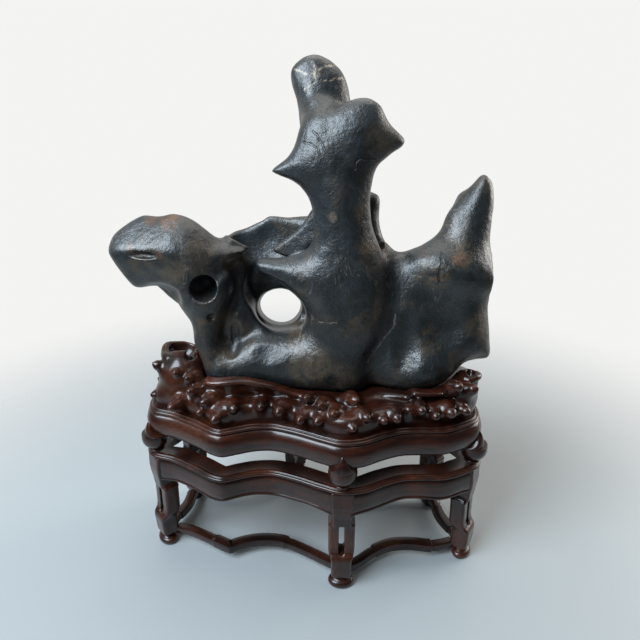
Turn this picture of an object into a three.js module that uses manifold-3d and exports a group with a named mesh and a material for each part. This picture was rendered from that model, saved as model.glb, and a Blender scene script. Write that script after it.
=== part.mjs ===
// A scholar's rock on its carved wooden stand: a dark water-worn stone that stands in the socket of
// a carved rockwork top, on a lower stand with six legs. Millimetres, +Z up, seen from -Y.
import * as THREE from 'three';
import { mergeVertices } from 'three/addons/utils/BufferGeometryUtils.js';
import Module from 'manifold-3d';

const wasm = await Module();
wasm.setup();

// Driving dimensions
const GAP = 0.3; // play between two touching pieces
const FOOT_HEIGHT = 14;
const FOOT_WIDTH = 42;
const FOOT_DEPTH = 31;
const LEG_WIDTH = 42.5;
const LEG_DEPTH = 26;
const LEG_INSET = 4; // the middle of a leg, in from the corner of the plan
const SLOT_WIDTH = 9;
const SLOT_LOW = 65;
const SLOT_HIGH = 120;
const STRETCHER_Z = 15;
const STRETCHER_WIDTH = 18;
const STRETCHER_HEIGHT = 14.5;
const APRON_HEIGHT = 39;
const APRON_DEPTH = 15;
const FRAME_Z = 187.3; // underside of the lower stand's open frame
const FRAME_TOP_Z = 191.5; // its flat top, inside the raised lip
const FRAME_WIDTH = 30;
const LIP_HEIGHT = 8.7;
const RIM_Z = 229.5; // underside of the carved top
const RIM_TOP_Z = 276;
const LEAF_TIP_Z = 258; // of the buds that climb the rim at its corners
const KNOB_FOOT_RADIUS = 23.4;
const KNOB_INSET = 6.2; // the middle of a knob foot, in from the corner of the plan
const SOCKET_PLAY = 3; // round the stone, where it stands in its socket
const CENTRE = [-7.5, -11.6]; // middle of the whole, in the plan's numbers

// Finishes
const STONE = new THREE.MeshStandardMaterial({ color: 0x1c2226, roughness: 0.42, metalness: 0 });
const ROSEWOOD = new THREE.MeshStandardMaterial({ color: 0x2e120c, roughness: 0.28, metalness: 0 });
const CARVED_WOOD = new THREE.MeshStandardMaterial({ color: 0x35160e, roughness: 0.25, metalness: 0 });

// The stand's plan: a serpentine outline with a corner at each of its six feet. The points go from
// the left corner along the front to the right corner, and back behind.
const PLAN = [
  [-264, -57], [-222, -72], [-178, -95], [-150, -112], [-132, -117], [-108, -108], [-82, -99],
  [-52, -97], [-12, -109], [22, -123], [56, -134], [88, -128], [118, -111], [148, -98], [180, -94],
  [214, -91], [245, -77], [271, -57], [279, -18], [262, 30], [236, 70], [200, 85], [150, 91],
  [100, 87], [50, 90], [0, 103], [-41, 111], [-84, 103], [-130, 88], [-180, 86], [-216, 84],
  [-247, 66], [-268, 30], [-277, -14],
];
// Where the feet stand: the number of the plan point at each corner, the way its leg faces in degrees
// from +X, and the name of the side that follows it
const CORNERS = {
  left: { at: 0, facing: 226, side: 'front_left' },
  front: { at: 10, facing: 272, side: 'front_right' },
  right: { at: 17, facing: 327, side: 'right' },
  back_right: { at: 20, facing: 42, side: 'back_right' },
  back: { at: 26, facing: 90, side: 'back_left' },
  back_left: { at: 31, facing: 140, side: 'left' },
};

// Curves

// Smooth closed curve through the points: tangents never longer than the step, so tips stay sharp.
function pointOn(points, u) {
  const n = points.length;
  const i = Math.floor(u);
  const t = u - i;
  const [p0, p1, p2, p3] = [i - 1, i, i + 1, i + 2].map((k) => points[((k % n) + n) % n]);
  const span = Math.hypot(p2[0] - p1[0], p2[1] - p1[1]);
  const tangent = (a, b) => {
    const m = [(b[0] - a[0]) / 2, (b[1] - a[1]) / 2];
    const scale = Math.min(1, span / Math.hypot(m[0], m[1]));
    return [m[0] * scale, m[1] * scale];
  };
  const m1 = tangent(p0, p2);
  const m2 = tangent(p1, p3);
  const [t2, t3] = [t * t, t * t * t];
  const [a, b, c, d] = [2 * t3 - 3 * t2 + 1, t3 - 2 * t2 + t, -2 * t3 + 3 * t2, t3 - t2];
  return [0, 1].map((k) => a * p1[k] + b * m1[k] + c * p2[k] + d * m2[k]);
}

function smoothOutline(points, steps) {
  const count = points.length * steps;
  return Array.from({ length: count }, (_, i) => pointOn(points, i / steps));
}

// A point beside the stand's plan: outward of it by offset, at the place u along it.
function besidePlan(u, offset) {
  const reach = 0.25;
  const a = pointOn(PLAN, u - reach);
  const b = pointOn(PLAN, u + reach);
  const length = Math.hypot(b[0] - a[0], b[1] - a[1]);
  const out = [(b[1] - a[1]) / length, -(b[0] - a[0]) / length];
  const p = pointOn(PLAN, u);
  return [p[0] + out[0] * offset, p[1] + out[1] * offset];
}

// Solids

function solidFrom(positions, index) {
  const geometry = new THREE.BufferGeometry();
  geometry.setAttribute('position', new THREE.BufferAttribute(new Float32Array(positions.flat()), 3));
  geometry.setIndex(index.flat());
  return geometry;
}

// Rings of equal length, one above the other or one after the other, closed by a cap at both ends.
function loft(rings) {
  const n = rings[0].length;
  const index = [];
  for (let r = 0; r + 1 < rings.length; r += 1) {
    for (let i = 0; i < n; i += 1) {
      const j = (i + 1) % n;
      const [a, b, c, d] = [r * n + i, r * n + j, (r + 1) * n + j, (r + 1) * n + i];
      index.push([a, b, c], [a, c, d]);
    }
  }
  const cap = (ring, start, flip) => {
    const three = [0, Math.floor(n / 3), Math.floor((2 * n) / 3)];
    const [o, p, q] = three.map((k) => new THREE.Vector3(...ring[k]));
    const normal = new THREE.Vector3().crossVectors(p.clone().sub(o), q.sub(o)).normalize();
    const x = p.sub(o).normalize();
    const y = new THREE.Vector3().crossVectors(normal, x);
    const flat = ring.map((v) => {
      const d = new THREE.Vector3(...v).sub(o);
      return new THREE.Vector2(d.dot(x), d.dot(y));
    });
    for (const [a, b, c] of THREE.ShapeUtils.triangulateShape(flat, [])) {
      index.push(flip ? [start + a, start + c, start + b] : [start + a, start + b, start + c]);
    }
  };
  cap(rings[0], 0, true);
  cap(rings[rings.length - 1], (rings.length - 1) * n, false);
  return facesOut(solidFrom(rings.flat(), index));
}

// Turns every triangle over when the body's volume comes out negative.
function facesOut(geometry) {
  const p = geometry.attributes.position;
  const index = geometry.index.array;
  const [a, b, c] = [new THREE.Vector3(), new THREE.Vector3(), new THREE.Vector3()];
  let volume = 0;
  for (let i = 0; i < index.length; i += 3) {
    a.fromBufferAttribute(p, index[i]);
    b.fromBufferAttribute(p, index[i + 1]);
    c.fromBufferAttribute(p, index[i + 2]);
    volume += a.dot(b.cross(c));
  }
  if (volume < 0) {
    for (let i = 0; i < index.length; i += 3) {
      [index[i], index[i + 1]] = [index[i + 1], index[i]];
    }
  }
  return geometry;
}

function toManifold(geometry) {
  let g = geometry.clone();
  g.deleteAttribute('normal');
  g.deleteAttribute('uv');
  g = mergeVertices(g, 1e-4);
  const vertProperties = new Float32Array(g.attributes.position.array);
  const triVerts = new Uint32Array(g.index.array);
  return new wasm.Manifold(new wasm.Mesh({ numProp: 3, vertProperties, triVerts }));
}

function fromManifold(solid) {
  const mesh = solid.getMesh();
  const geometry = new THREE.BufferGeometry();
  geometry.setAttribute('position', new THREE.BufferAttribute(new Float32Array(mesh.vertProperties), 3));
  geometry.setIndex(Array.from(mesh.triVerts));
  return geometry;
}

// Sculpting: a form is a function that is negative inside it, and about the distance in mm outside

function smoothMin(a, b, blend) {
  const h = Math.max(blend - Math.abs(a - b), 0) / blend;
  return Math.min(a, b) - h * h * blend * 0.25;
}

function smoothMax(a, b, blend) {
  return -smoothMin(-a, -b, blend);
}

// Far from its box a form only has to be a distance, so the rough distance to the box will do.
const FAR = 45;
function farFrom([x, y, z], low, high) {
  const dx = Math.max(low[0] - x, x - high[0]);
  const dy = Math.max(low[1] - y, y - high[1]);
  const dz = Math.max(low[2] - z, z - high[2]);
  return Math.max(dx, dy, dz);
}

function outlineDistance(x, z, outline) {
  let nearest = Infinity;
  let inside = false;
  for (let i = 0, j = outline.length - 1; i < outline.length; j = i, i += 1) {
    const [ax, az] = outline[j];
    const [bx, bz] = outline[i];
    const [ex, ez] = [bx - ax, bz - az];
    const along = ((x - ax) * ex + (z - az) * ez) / (ex * ex + ez * ez + 1e-12);
    const t = Math.min(Math.max(along, 0), 1);
    const [dx, dz] = [x - ax - ex * t, z - az - ez * t];
    nearest = Math.min(nearest, dx * dx + dz * dz);
    if (az > z !== bz > z && x < ax + ((z - az) * ex) / ez) {
      inside = !inside;
    }
  }
  return inside ? -Math.sqrt(nearest) : Math.sqrt(nearest);
}

const MAP_STEP = 4; // spacing of a plate's distance map
const MAP_MARGIN = 66; // how far the map reaches past the outline
const SOFT_DEPTH = 24; // the map is smoothed this far inside the outline

function smoothMap(map, nx, nz, reach) {
  let from = map;
  for (let pass = 0; pass < 3; pass += 1) {
    for (const [stepX, stepZ] of [[1, 0], [0, 1]]) {
      const to = new Float64Array(from.length);
      for (let i = 0; i < nx; i += 1) {
        for (let j = 0; j < nz; j += 1) {
          let sum = 0;
          for (let k = -reach; k <= reach; k += 1) {
            const a = Math.min(Math.max(i + k * stepX, 0), nx - 1);
            const b = Math.min(Math.max(j + k * stepZ, 0), nz - 1);
            sum += from[a * nz + b];
          }
          to[i * nz + j] = sum / (2 * reach + 1);
        }
      }
      from = to;
    }
  }
  return from;
}

// A plate with a domed face: an outline seen from the front, thick in the middle, thin at its edge.
// edge is how far in from the outline the face curves, power how boxy the edge is, lean and turn how
// much the middle plane goes back per mm up and per mm right, taper how much thicker per 100 mm down.
function plate({ outline, y, half, edge, power = 1.9, lean = 0, turn = 0, pivot = [0, 0], taper = 0,
  soft = 10, flat = false }) {
  const curve = smoothOutline(outline, 5);
  const low = [0, 1].map((k) => Math.min(...curve.map((p) => p[k])) - MAP_MARGIN);
  const high = [0, 1].map((k) => Math.max(...curve.map((p) => p[k])) + MAP_MARGIN);
  const [nx, nz] = [0, 1].map((k) => Math.ceil((high[k] - low[k]) / MAP_STEP) + 1);
  const exact = new Float64Array(nx * nz);
  for (let i = 0; i < nx; i += 1) {
    for (let j = 0; j < nz; j += 1) {
      exact[i * nz + j] = outlineDistance(low[0] + i * MAP_STEP, low[1] + j * MAP_STEP, curve);
    }
  }
  const smooth = smoothMap(exact, nx, nz, Math.max(Math.floor(soft / MAP_STEP), 1));
  const map = exact.map((d, i) => {
    const w = Math.min(Math.max(-d / SOFT_DEPTH, 0), 1);
    const s = w * w * (3 - 2 * w);
    return d * (1 - s) + smooth[i] * s;
  });
  const distance = (x, z) => {
    const [u, v] = [(x - low[0]) / MAP_STEP, (z - low[1]) / MAP_STEP];
    const [uc, vc] = [Math.min(Math.max(u, 0), nx - 1.001), Math.min(Math.max(v, 0), nz - 1.001)];
    const [i, j] = [Math.floor(uc), Math.floor(vc)];
    const [a, b] = [uc - i, vc - j];
    const k = i * nz + j;
    const lower = map[k] * (1 - a) + map[k + nz] * a;
    const upper = map[k + 1] * (1 - a) + map[k + nz + 1] * a;
    return lower * (1 - b) + upper * b + Math.hypot(u - uc, v - vc) * MAP_STEP;
  };
  const reach = half * 1.4 + 30;
  const [boxLow, boxHigh] = [[low[0], y - reach, low[1]], [high[0], y + reach, high[1]]];
  return (px, py, pz) => {
    // A flat plate lies down: its outline is in plan, and its thickness goes up.
    const [x, depth, z] = flat ? [px, pz, py] : [px, py, pz];
    const far = farFrom([x, depth, z], boxLow, boxHigh);
    if (far > 0) {
      return far + FAR;
    }
    const middle = y + turn * (x - pivot[0]) + lean * (z - pivot[1]);
    const thick = Math.max(half * (1 + (taper * (pivot[1] - z)) / 100), 6);
    const a = Math.max(distance(x, z) + edge, 0) / edge;
    const b = Math.abs(depth - middle) / thick;
    const n = Math.max((a ** power + b ** power) ** (1 / power), 0.3);
    const ga = (n ** (1 - power) * Math.max(a, 1e-6) ** (power - 1)) / edge;
    const gb = (n ** (1 - power) * Math.max(b, 1e-6) ** (power - 1)) / thick;
    return (n - 1) / Math.hypot(ga, gb);
  };
}

// A round bar from one point to another, with a radius at each end.
function bar(from, to, radiusFrom, radiusTo) {
  const along = to.map((v, k) => v - from[k]);
  const square = along.reduce((s, v) => s + v * v, 0);
  const radius = Math.max(radiusFrom, radiusTo);
  const low = from.map((v, k) => Math.min(v, to[k]) - radius);
  const high = from.map((v, k) => Math.max(v, to[k]) + radius);
  return (x, y, z) => {
    const far = farFrom([x, y, z], low, high);
    if (far > FAR) {
      return far;
    }
    const d = [x - from[0], y - from[1], z - from[2]];
    const t = Math.min(Math.max((d[0] * along[0] + d[1] * along[1] + d[2] * along[2]) / square, 0), 1);
    const [ex, ey, ez] = d.map((v, k) => v - along[k] * t);
    return Math.sqrt(ex * ex + ey * ey + ez * ez) - (radiusFrom + (radiusTo - radiusFrom) * t);
  };
}

// An egg-shaped body, leant about X, then tipped about Y, then turned about Z, in degrees.
function egg(centre, radii, { lean = 0, tip = 0, turn = 0 } = {}) {
  const angles = [lean, tip, turn].map(THREE.MathUtils.degToRad);
  const matrix = new THREE.Matrix4().makeRotationFromEuler(new THREE.Euler(...angles, 'ZYX')).transpose();
  const m = matrix.elements;
  const longest = Math.max(...radii);
  const low = centre.map((v) => v - longest);
  const high = centre.map((v) => v + longest);
  return (x, y, z) => {
    const far = farFrom([x, y, z], low, high);
    if (far > FAR) {
      return far;
    }
    const [dx, dy, dz] = [x - centre[0], y - centre[1], z - centre[2]];
    let near = 0;
    let steep = 0;
    for (let k = 0; k < 3; k += 1) {
      const q = (m[k] * dx + m[k + 4] * dy + m[k + 8] * dz) / radii[k];
      near += q * q;
      steep += (q / radii[k]) ** 2;
    }
    near = Math.sqrt(near);
    return (near * (near - 1)) / Math.max(Math.sqrt(steep), 1e-9);
  };
}

// Half a ball, which shaves a flat where it is taken out: the way is out of the flat.
function facet(point, way, reach) {
  const length = Math.hypot(...way);
  return (x, y, z) => {
    const d = [x - point[0], y - point[1], z - point[2]];
    const ahead = d.reduce((sum, v, k) => sum + (v * way[k]) / length, 0);
    return smoothMax(-ahead, Math.hypot(...d) - reach, 12);
  };
}

// Adds all the grown forms, then takes out all the hollows. Each one is [form, blend].
function sculpt(grown, hollows) {
  return (x, y, z) => {
    let f = Infinity;
    for (const [form, blend] of grown) {
      f = f === Infinity ? form(x, y, z) : smoothMin(f, form(x, y, z), blend);
    }
    for (const [form, blend] of hollows) {
      f = smoothMax(f, -form(x, y, z), blend);
    }
    return f;
  };
}

// The surface of a form, as triangles: every cell of a grid is cut into six tetrahedra.
function surfaceOf(form, low, high, cell) {
  const count = low.map((v, k) => Math.ceil((high[k] - v) / cell) + 1);
  const at = (i, j, k) => (i * count[1] + j) * count[2] + k;
  const place = (id) => {
    const k = id % count[2];
    const j = Math.floor(id / count[2]) % count[1];
    const i = Math.floor(id / (count[1] * count[2]));
    return [low[0] + i * cell, low[1] + j * cell, low[2] + k * cell];
  };
  const value = new Float64Array(count[0] * count[1] * count[2]);
  for (let id = 0; id < value.length; id += 1) {
    const v = form(...place(id));
    value[id] = Math.abs(v) < 1e-3 ? 1e-3 : v;
  }
  const positions = [];
  const index = [];
  const made = new Map();
  const between = (a, b) => {
    const key = a < b ? a * value.length + b : b * value.length + a;
    if (!made.has(key)) {
      const t = Math.min(Math.max(value[a] / (value[a] - value[b]), 0.12), 0.88);
      const [p, q] = [place(a), place(b)];
      made.set(key, positions.length);
      positions.push(p.map((v, k) => v + (q[k] - v) * t));
    }
    return made.get(key);
  };
  const face = (a, b, c, inner) => {
    const [p, q, r] = [a, b, c].map((i) => new THREE.Vector3(...positions[i]));
    const normal = q.clone().sub(p).cross(r.clone().sub(p));
    const out = p.clone().sub(new THREE.Vector3(...place(inner)));
    index.push(normal.dot(out) > 0 ? [a, b, c] : [a, c, b]);
  };
  const corner = [[0, 0, 0], [1, 0, 0], [0, 1, 0], [1, 1, 0], [0, 0, 1], [1, 0, 1], [0, 1, 1], [1, 1, 1]];
  const tetrahedra = [[0, 1, 3, 7], [0, 3, 2, 7], [0, 2, 6, 7], [0, 6, 4, 7], [0, 4, 5, 7], [0, 5, 1, 7]];
  for (let i = 0; i + 1 < count[0]; i += 1) {
    for (let j = 0; j + 1 < count[1]; j += 1) {
      for (let k = 0; k + 1 < count[2]; k += 1) {
        const ids = corner.map(([a, b, c]) => at(i + a, j + b, k + c));
        const inside = ids.filter((id) => value[id] < 0).length;
        if (inside === 0 || inside === 8) {
          continue;
        }
        for (const tetrahedron of tetrahedra) {
          const four = tetrahedron.map((c) => ids[c]);
          const inner = four.filter((id) => value[id] < 0);
          const outer = four.filter((id) => value[id] >= 0);
          if (inner.length === 1) {
            face(...outer.map((o) => between(inner[0], o)), inner[0]);
          } else if (inner.length === 3) {
            face(...inner.map((o) => between(o, outer[0])), inner[0]);
          } else if (inner.length === 2) {
            const pairs = [[0, 0], [0, 1], [1, 1], [1, 0]];
            const [a, b, c, d] = pairs.map(([m, o]) => between(inner[m], outer[o]));
            face(a, b, c, inner[0]);
            face(a, c, d, inner[1]);
          }
        }
      }
    }
  }
  return settle(form, largestBody({ positions, index }));
}

// Leaves out the crumbs that a hollow can cut off.
function largestBody({ positions, index }) {
  const around = positions.map(() => []);
  index.forEach((f, i) => f.forEach((v) => around[v].push(i)));
  const body = index.map(() => -1);
  const sizes = [];
  index.forEach((_, first) => {
    if (body[first] >= 0) {
      return;
    }
    const [id, reached] = [sizes.length, [first]];
    body[first] = id;
    for (let k = 0; k < reached.length; k += 1) {
      for (const v of index[reached[k]]) {
        for (const f of around[v].filter((g) => body[g] < 0)) {
          body[f] = id;
          reached.push(f);
        }
      }
    }
    sizes.push(reached.length);
  });
  const largest = sizes.indexOf(Math.max(...sizes));
  const kept = index.filter((_, i) => body[i] === largest);
  return onlyUsed(positions, kept);
}

// The points that the triangles use, and the triangles with those points' new numbers
function onlyUsed(positions, kept) {
  const number = new Map();
  kept.flat().forEach((v) => number.has(v) || number.set(v, number.size));
  const points = [...number.keys()].map((v) => positions[v]);
  return { positions: points, index: kept.map((f) => f.map((v) => number.get(v))) };
}

// Evens out the triangles: every point moves towards the middle of its neighbours, then back.
const SETTLE_ROUNDS = 4;
function settle(form, { positions, index }) {
  const around = positions.map(() => new Set());
  index.forEach((f) => f.forEach((v) => f.forEach((w) => w !== v && around[v].add(w))));
  let points = positions;
  for (let round = 0; round < SETTLE_ROUNDS; round += 1) {
    points = points.map((p, v) => {
      const near = [...around[v]];
      const middle = p.map((_, k) => near.reduce((sum, w) => sum + points[w][k], 0) / near.length);
      return ontoForm(form, p.map((t, k) => 0.4 * t + 0.6 * middle[k]));
    });
  }
  return { positions: points, index };
}

function ontoForm(form, [x, y, z]) {
  const step = 0.5;
  const here = form(x, y, z);
  const there = [form(x + step, y, z), form(x, y + step, z), form(x, y, z + step)];
  const slope = there.map((v) => (v - here) / step);
  const square = Math.max(slope[0] ** 2 + slope[1] ** 2 + slope[2] ** 2, 0.2);
  return [x, y, z].map((v, k) => v - (here * slope[k]) / square);
}

const LEAST_FATNESS = 0.12; // of a triangle: twice its area over the square of its longest side
const LEAST_TURN = 0.3; // cosine between a triangle's normal before and after a step

// Fewer triangles with the same form: the edge whose loss moves the surface least goes first.
function simplify({ positions, index }, target) {
  const faces = index.map((f) => [...f]);
  const alive = faces.map(() => true);
  const around = positions.map(() => new Set());
  const quadric = positions.map(() => new Float64Array(10));
  faces.forEach((f, i) => f.forEach((v) => around[v].add(i)));
  const normalOf = (p, q, r) => {
    const u = [q[0] - p[0], q[1] - p[1], q[2] - p[2]];
    const v = [r[0] - p[0], r[1] - p[1], r[2] - p[2]];
    return [u[1] * v[2] - u[2] * v[1], u[2] * v[0] - u[0] * v[2], u[0] * v[1] - u[1] * v[0]];
  };
  faces.forEach((f) => {
    const [p, q, r] = f.map((v) => positions[v]);
    const n = normalOf(p, q, r);
    const length = Math.hypot(...n) || 1e-12;
    const [a, b, c] = n.map((v) => v / length);
    const d = -(a * p[0] + b * p[1] + c * p[2]);
    const terms = [a * a, a * b, a * c, a * d, b * b, b * c, b * d, c * c, c * d, d * d];
    f.forEach((v) => terms.forEach((t, k) => {
      quadric[v][k] += t * length;
    }));
  });
  const fatness = (corners) => {
    const sides = corners.map((p, k) => Math.hypot(...p.map((t, m) => t - corners[(k + 1) % 3][m])));
    return Math.hypot(...normalOf(...corners)) / Math.max(...sides) ** 2;
  };
  const errorAt = (q, [x, y, z]) => q[0] * x * x + 2 * q[1] * x * y + 2 * q[2] * x * z + 2 * q[3] * x
    + q[4] * y * y + 2 * q[5] * y * z + 2 * q[6] * y + q[7] * z * z + 2 * q[8] * z + q[9];
  const best = (u, v) => {
    const q = quadric[u].map((t, k) => t + quadric[v][k]);
    const middle = positions[u].map((t, k) => (t + positions[v][k]) / 2);
    const tries = [positions[u], positions[v], middle];
    const [a, b, c, e, f, i] = [q[0], q[1], q[2], q[4], q[5], q[7]];
    const det = a * (e * i - f * f) - b * (b * i - f * c) + c * (b * f - e * c);
    if (Math.abs(det) > 1e-3) {
      const [r, s, t] = [-q[3], -q[6], -q[8]];
      const solved = [
        (r * (e * i - f * f) - b * (s * i - f * t) + c * (s * f - e * t)) / det,
        (a * (s * i - f * t) - r * (b * i - f * c) + c * (b * t - s * c)) / det,
        (a * (e * t - s * f) - b * (b * t - s * c) + r * (b * f - e * c)) / det,
      ];
      const span = Math.hypot(...positions[u].map((t2, k) => t2 - positions[v][k]));
      if (Math.hypot(...solved.map((t2, k) => t2 - middle[k])) < 2 * span) {
        tries.push(solved);
      }
    }
    let [place, least] = [middle, Infinity];
    for (const p of tries) {
      const error = errorAt(q, p);
      if (error < least) {
        [place, least] = [p, error];
      }
    }
    const length = positions[u].reduce((s, t, k) => s + (t - positions[v][k]) ** 2, 0);
    return { u, v, place, cost: least + length * 0.02, stamp: version[u] + version[v] };
  };
  const version = positions.map(() => 0);
  const heap = [];
  const push = (item) => {
    let i = heap.push(item) - 1;
    while (i > 0 && heap[(i - 1) >> 1].cost > heap[i].cost) {
      [heap[i], heap[(i - 1) >> 1]] = [heap[(i - 1) >> 1], heap[i]];
      i = (i - 1) >> 1;
    }
  };
  const pop = () => {
    const top = heap[0];
    const last = heap.pop();
    if (heap.length > 0) {
      heap[0] = last;
      for (let i = 0; ;) {
        let small = i;
        for (const child of [2 * i + 1, 2 * i + 2]) {
          if (child < heap.length && heap[child].cost < heap[small].cost) {
            small = child;
          }
        }
        if (small === i) {
          break;
        }
        [heap[i], heap[small]] = [heap[small], heap[i]];
        i = small;
      }
    }
    return top;
  };
  const neighbours = (v) => {
    const found = new Set();
    around[v].forEach((f) => faces[f].forEach((w) => found.add(w)));
    found.delete(v);
    return found;
  };
  positions.forEach((_, v) => neighbours(v).forEach((w) => {
    if (v < w) {
      push(best(v, w));
    }
  }));
  let left = faces.length;
  while (left > target && heap.length > 0) {
    const { u, v, place, stamp } = pop();
    if (around[u].size === 0 || around[v].size === 0 || stamp !== version[u] + version[v]) {
      continue;
    }
    const [nu, nv] = [neighbours(u), neighbours(v)];
    const common = [...nu].filter((w) => nv.has(w));
    if (!nu.has(v) || common.length !== 2) {
      continue;
    }
    let spoils = false;
    for (const w of [u, v]) {
      for (const f of around[w]) {
        if (faces[f].includes(u) && faces[f].includes(v)) {
          continue;
        }
        const before = faces[f].map((k) => positions[k]);
        const after = faces[f].map((k) => (k === w ? place : positions[k]));
        const [nb, na] = [normalOf(...before), normalOf(...after)];
        const dot = nb[0] * na[0] + nb[1] * na[1] + nb[2] * na[2];
        const [fb, fa] = [fatness(before), fatness(after)];
        const flips = fb > LEAST_FATNESS && dot < LEAST_TURN * Math.hypot(...nb) * Math.hypot(...na);
        spoils = spoils || flips || (fa < LEAST_FATNESS && fa < fb);
      }
    }
    if (spoils) {
      continue;
    }
    positions[u] = place;
    quadric[u] = quadric[u].map((t, k) => t + quadric[v][k]);
    for (const f of [...around[v]]) {
      if (faces[f].includes(u)) {
        alive[f] = false;
        faces[f].forEach((w) => around[w].delete(f));
        left -= 1;
      } else {
        faces[f] = faces[f].map((w) => (w === v ? u : w));
        around[u].add(f);
      }
    }
    around[v].clear();
    version[u] += 1;
    neighbours(u).forEach((w) => push(best(u, w)));
  }
  const result = onlyUsed(positions, faces.filter((_, i) => alive[i]));
  return solidFrom(result.positions, result.index);
}

// The stone. Outlines are [x, z] as seen from the front.

const column = plate({
  outline: [
    [-12, 694], [-30, 667], [-50, 652], [-54, 645], [-43, 639], [-21, 630], [-5, 613], [3, 589], [4, 555],
    [-8, 533], [-38, 523], [-76, 520], [-84, 512], [-78, 500], [-45, 478], [-12, 440], [-14, 405],
    [-30, 360], [-20, 318], [40, 308], [74, 310], [90, 345], [120, 404], [124, 440], [120, 500],
    [106, 537], [93, 570], [88, 600], [90, 630], [97, 652], [114, 668], [128, 678], [131, 688],
    [109, 711], [97, 731], [80, 741], [58, 739], [20, 720],
  ],
  y: -14, half: 46, edge: 62, power: 2, lean: -0.03, pivot: [0, 500], taper: 0.14, soft: 14,
});
const finger = plate({
  outline: [
    [5, 800], [-16, 794], [-30, 779], [-29, 760], [-21, 736], [-17, 703], [-10, 650], [10, 600],
    [50, 600], [62, 650], [58, 735], [52, 762], [43, 779], [26, 793],
  ],
  y: 34, half: 27, edge: 30, power: 2.3, lean: 0.06, pivot: [0, 720],
});
const backWall = plate({
  outline: [
    [-146, 524], [-131, 545], [-108, 554], [-84, 565], [-69, 573], [-40, 571], [-8, 574], [14, 572],
    [50, 600], [80, 612], [98, 609], [106, 600], [107, 568], [112, 545], [128, 510], [150, 470],
    [150, 420], [140, 330], [90, 306], [-60, 306], [-140, 330], [-165, 370], [-160, 420],
  ],
  y: 52, half: 22, edge: 22, pivot: [0, 500], taper: 0.15,
});
const wing = plate({
  outline: [
    [110, 540], [134, 526], [166, 526], [182, 538], [195, 558], [206, 586], [230, 612], [250, 638],
    [260, 638], [271, 624], [275, 590], [274, 535], [275, 477], [283, 418], [290, 374], [285, 357],
    [262, 353], [238, 344], [208, 326], [176, 306], [120, 304], [80, 330], [90, 430],
  ],
  y: 10, half: 40, edge: 50, power: 1.8, lean: 0.12, turn: 0.02, pivot: [180, 450], taper: 0.1, soft: 12,
});
const arm = plate({
  outline: [
    [-305, 527], [-301, 545], [-290, 561], [-256, 585], [-230, 583], [-204, 586], [-178, 576],
    [-157, 560], [-140, 547], [-118, 538], [-99, 529], [-112, 520], [-125, 500], [-125, 470],
    [-140, 430], [-190, 425], [-215, 450], [-240, 470], [-273, 472], [-293, 502],
  ],
  y: -12, half: 50, edge: 54, power: 1.8, turn: 0.08, pivot: [-200, 500],
});
const leg = plate({
  outline: [
    [-188, 470], [-188, 420], [-185, 376], [-168, 332], [-147, 308], [-110, 308], [-118, 340],
    [-138, 380], [-134, 420], [-118, 470], [-130, 500],
  ],
  y: -24, half: 36, edge: 40,
});
const armSheet = plate({
  outline: [
    [-266, 480], [-246, 452], [-220, 426], [-192, 408], [-150, 400], [-120, 450], [-150, 520], [-220, 520],
  ],
  y: 22, half: 18, edge: 18, power: 1.8,
});
const lowerBody = plate({
  outline: [
    [-172, 330], [-150, 305], [-60, 303], [60, 300], [90, 308], [90, 360], [10, 400], [-50, 398],
    [-85, 398], [-120, 385], [-150, 370],
  ],
  y: -8, half: 50, edge: 46, power: 2.2,
});
const innerFin = plate({
  outline: [
    [-62, 520], [-58, 532], [-36, 548], [-16, 566], [0, 590], [14, 604], [26, 590], [20, 560],
    [-4, 530], [-30, 512],
  ],
  y: 16, half: 7, edge: 7, power: 1.8, lean: 0.1, turn: -0.25, pivot: [-20, 550],
});

const grown = [
  [column, 18], [finger, 22], [backWall, 20], [wing, 18],
  [bar([10, 26, 752], [14, -8, 700], 20, 26), 20], // from the finger down to the head
  [egg([224, 6, 500], [72, 42, 32], { tip: 14, turn: 6 }), 32], // belly across the wing
  [egg([178, -10, 350], [52, 48, 40]), 26], // foot of the wing
  [arm, 18], [leg, 18], [armSheet, 14], [lowerBody, 22],
  [egg([-118, 2, 408], [24, 30, 44]), 12], // between the leg and the bowl
  [bar([-122, 22, 540], [-108, 8, 450], 16, 17), 18], // pillar left of the hole
  [bar([-108, 8, 450], [-84, -4, 402], 17, 15), 18],
  // Ridges on the back
  [bar([-140, 54, 520], [-60, 84, 470], 10, 13), 26],
  [bar([60, 66, 585], [20, 86, 500], 10, 14), 26],
  [bar([20, 86, 500], [-20, 60, 345], 14, 15), 26],
  [bar([140, 50, 480], [90, 84, 400], 12, 15), 24],
  [bar([-120, 70, 420], [-95, 60, 345], 12, 15), 24],
  [bar([234, 52, 600], [205, 66, 470], 10, 14), 26],
  [bar([205, 66, 470], [150, 56, 350], 14, 17), 26],
  [bar([-275, 20, 530], [-200, 48, 520], 10, 14), 22],
];

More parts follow.
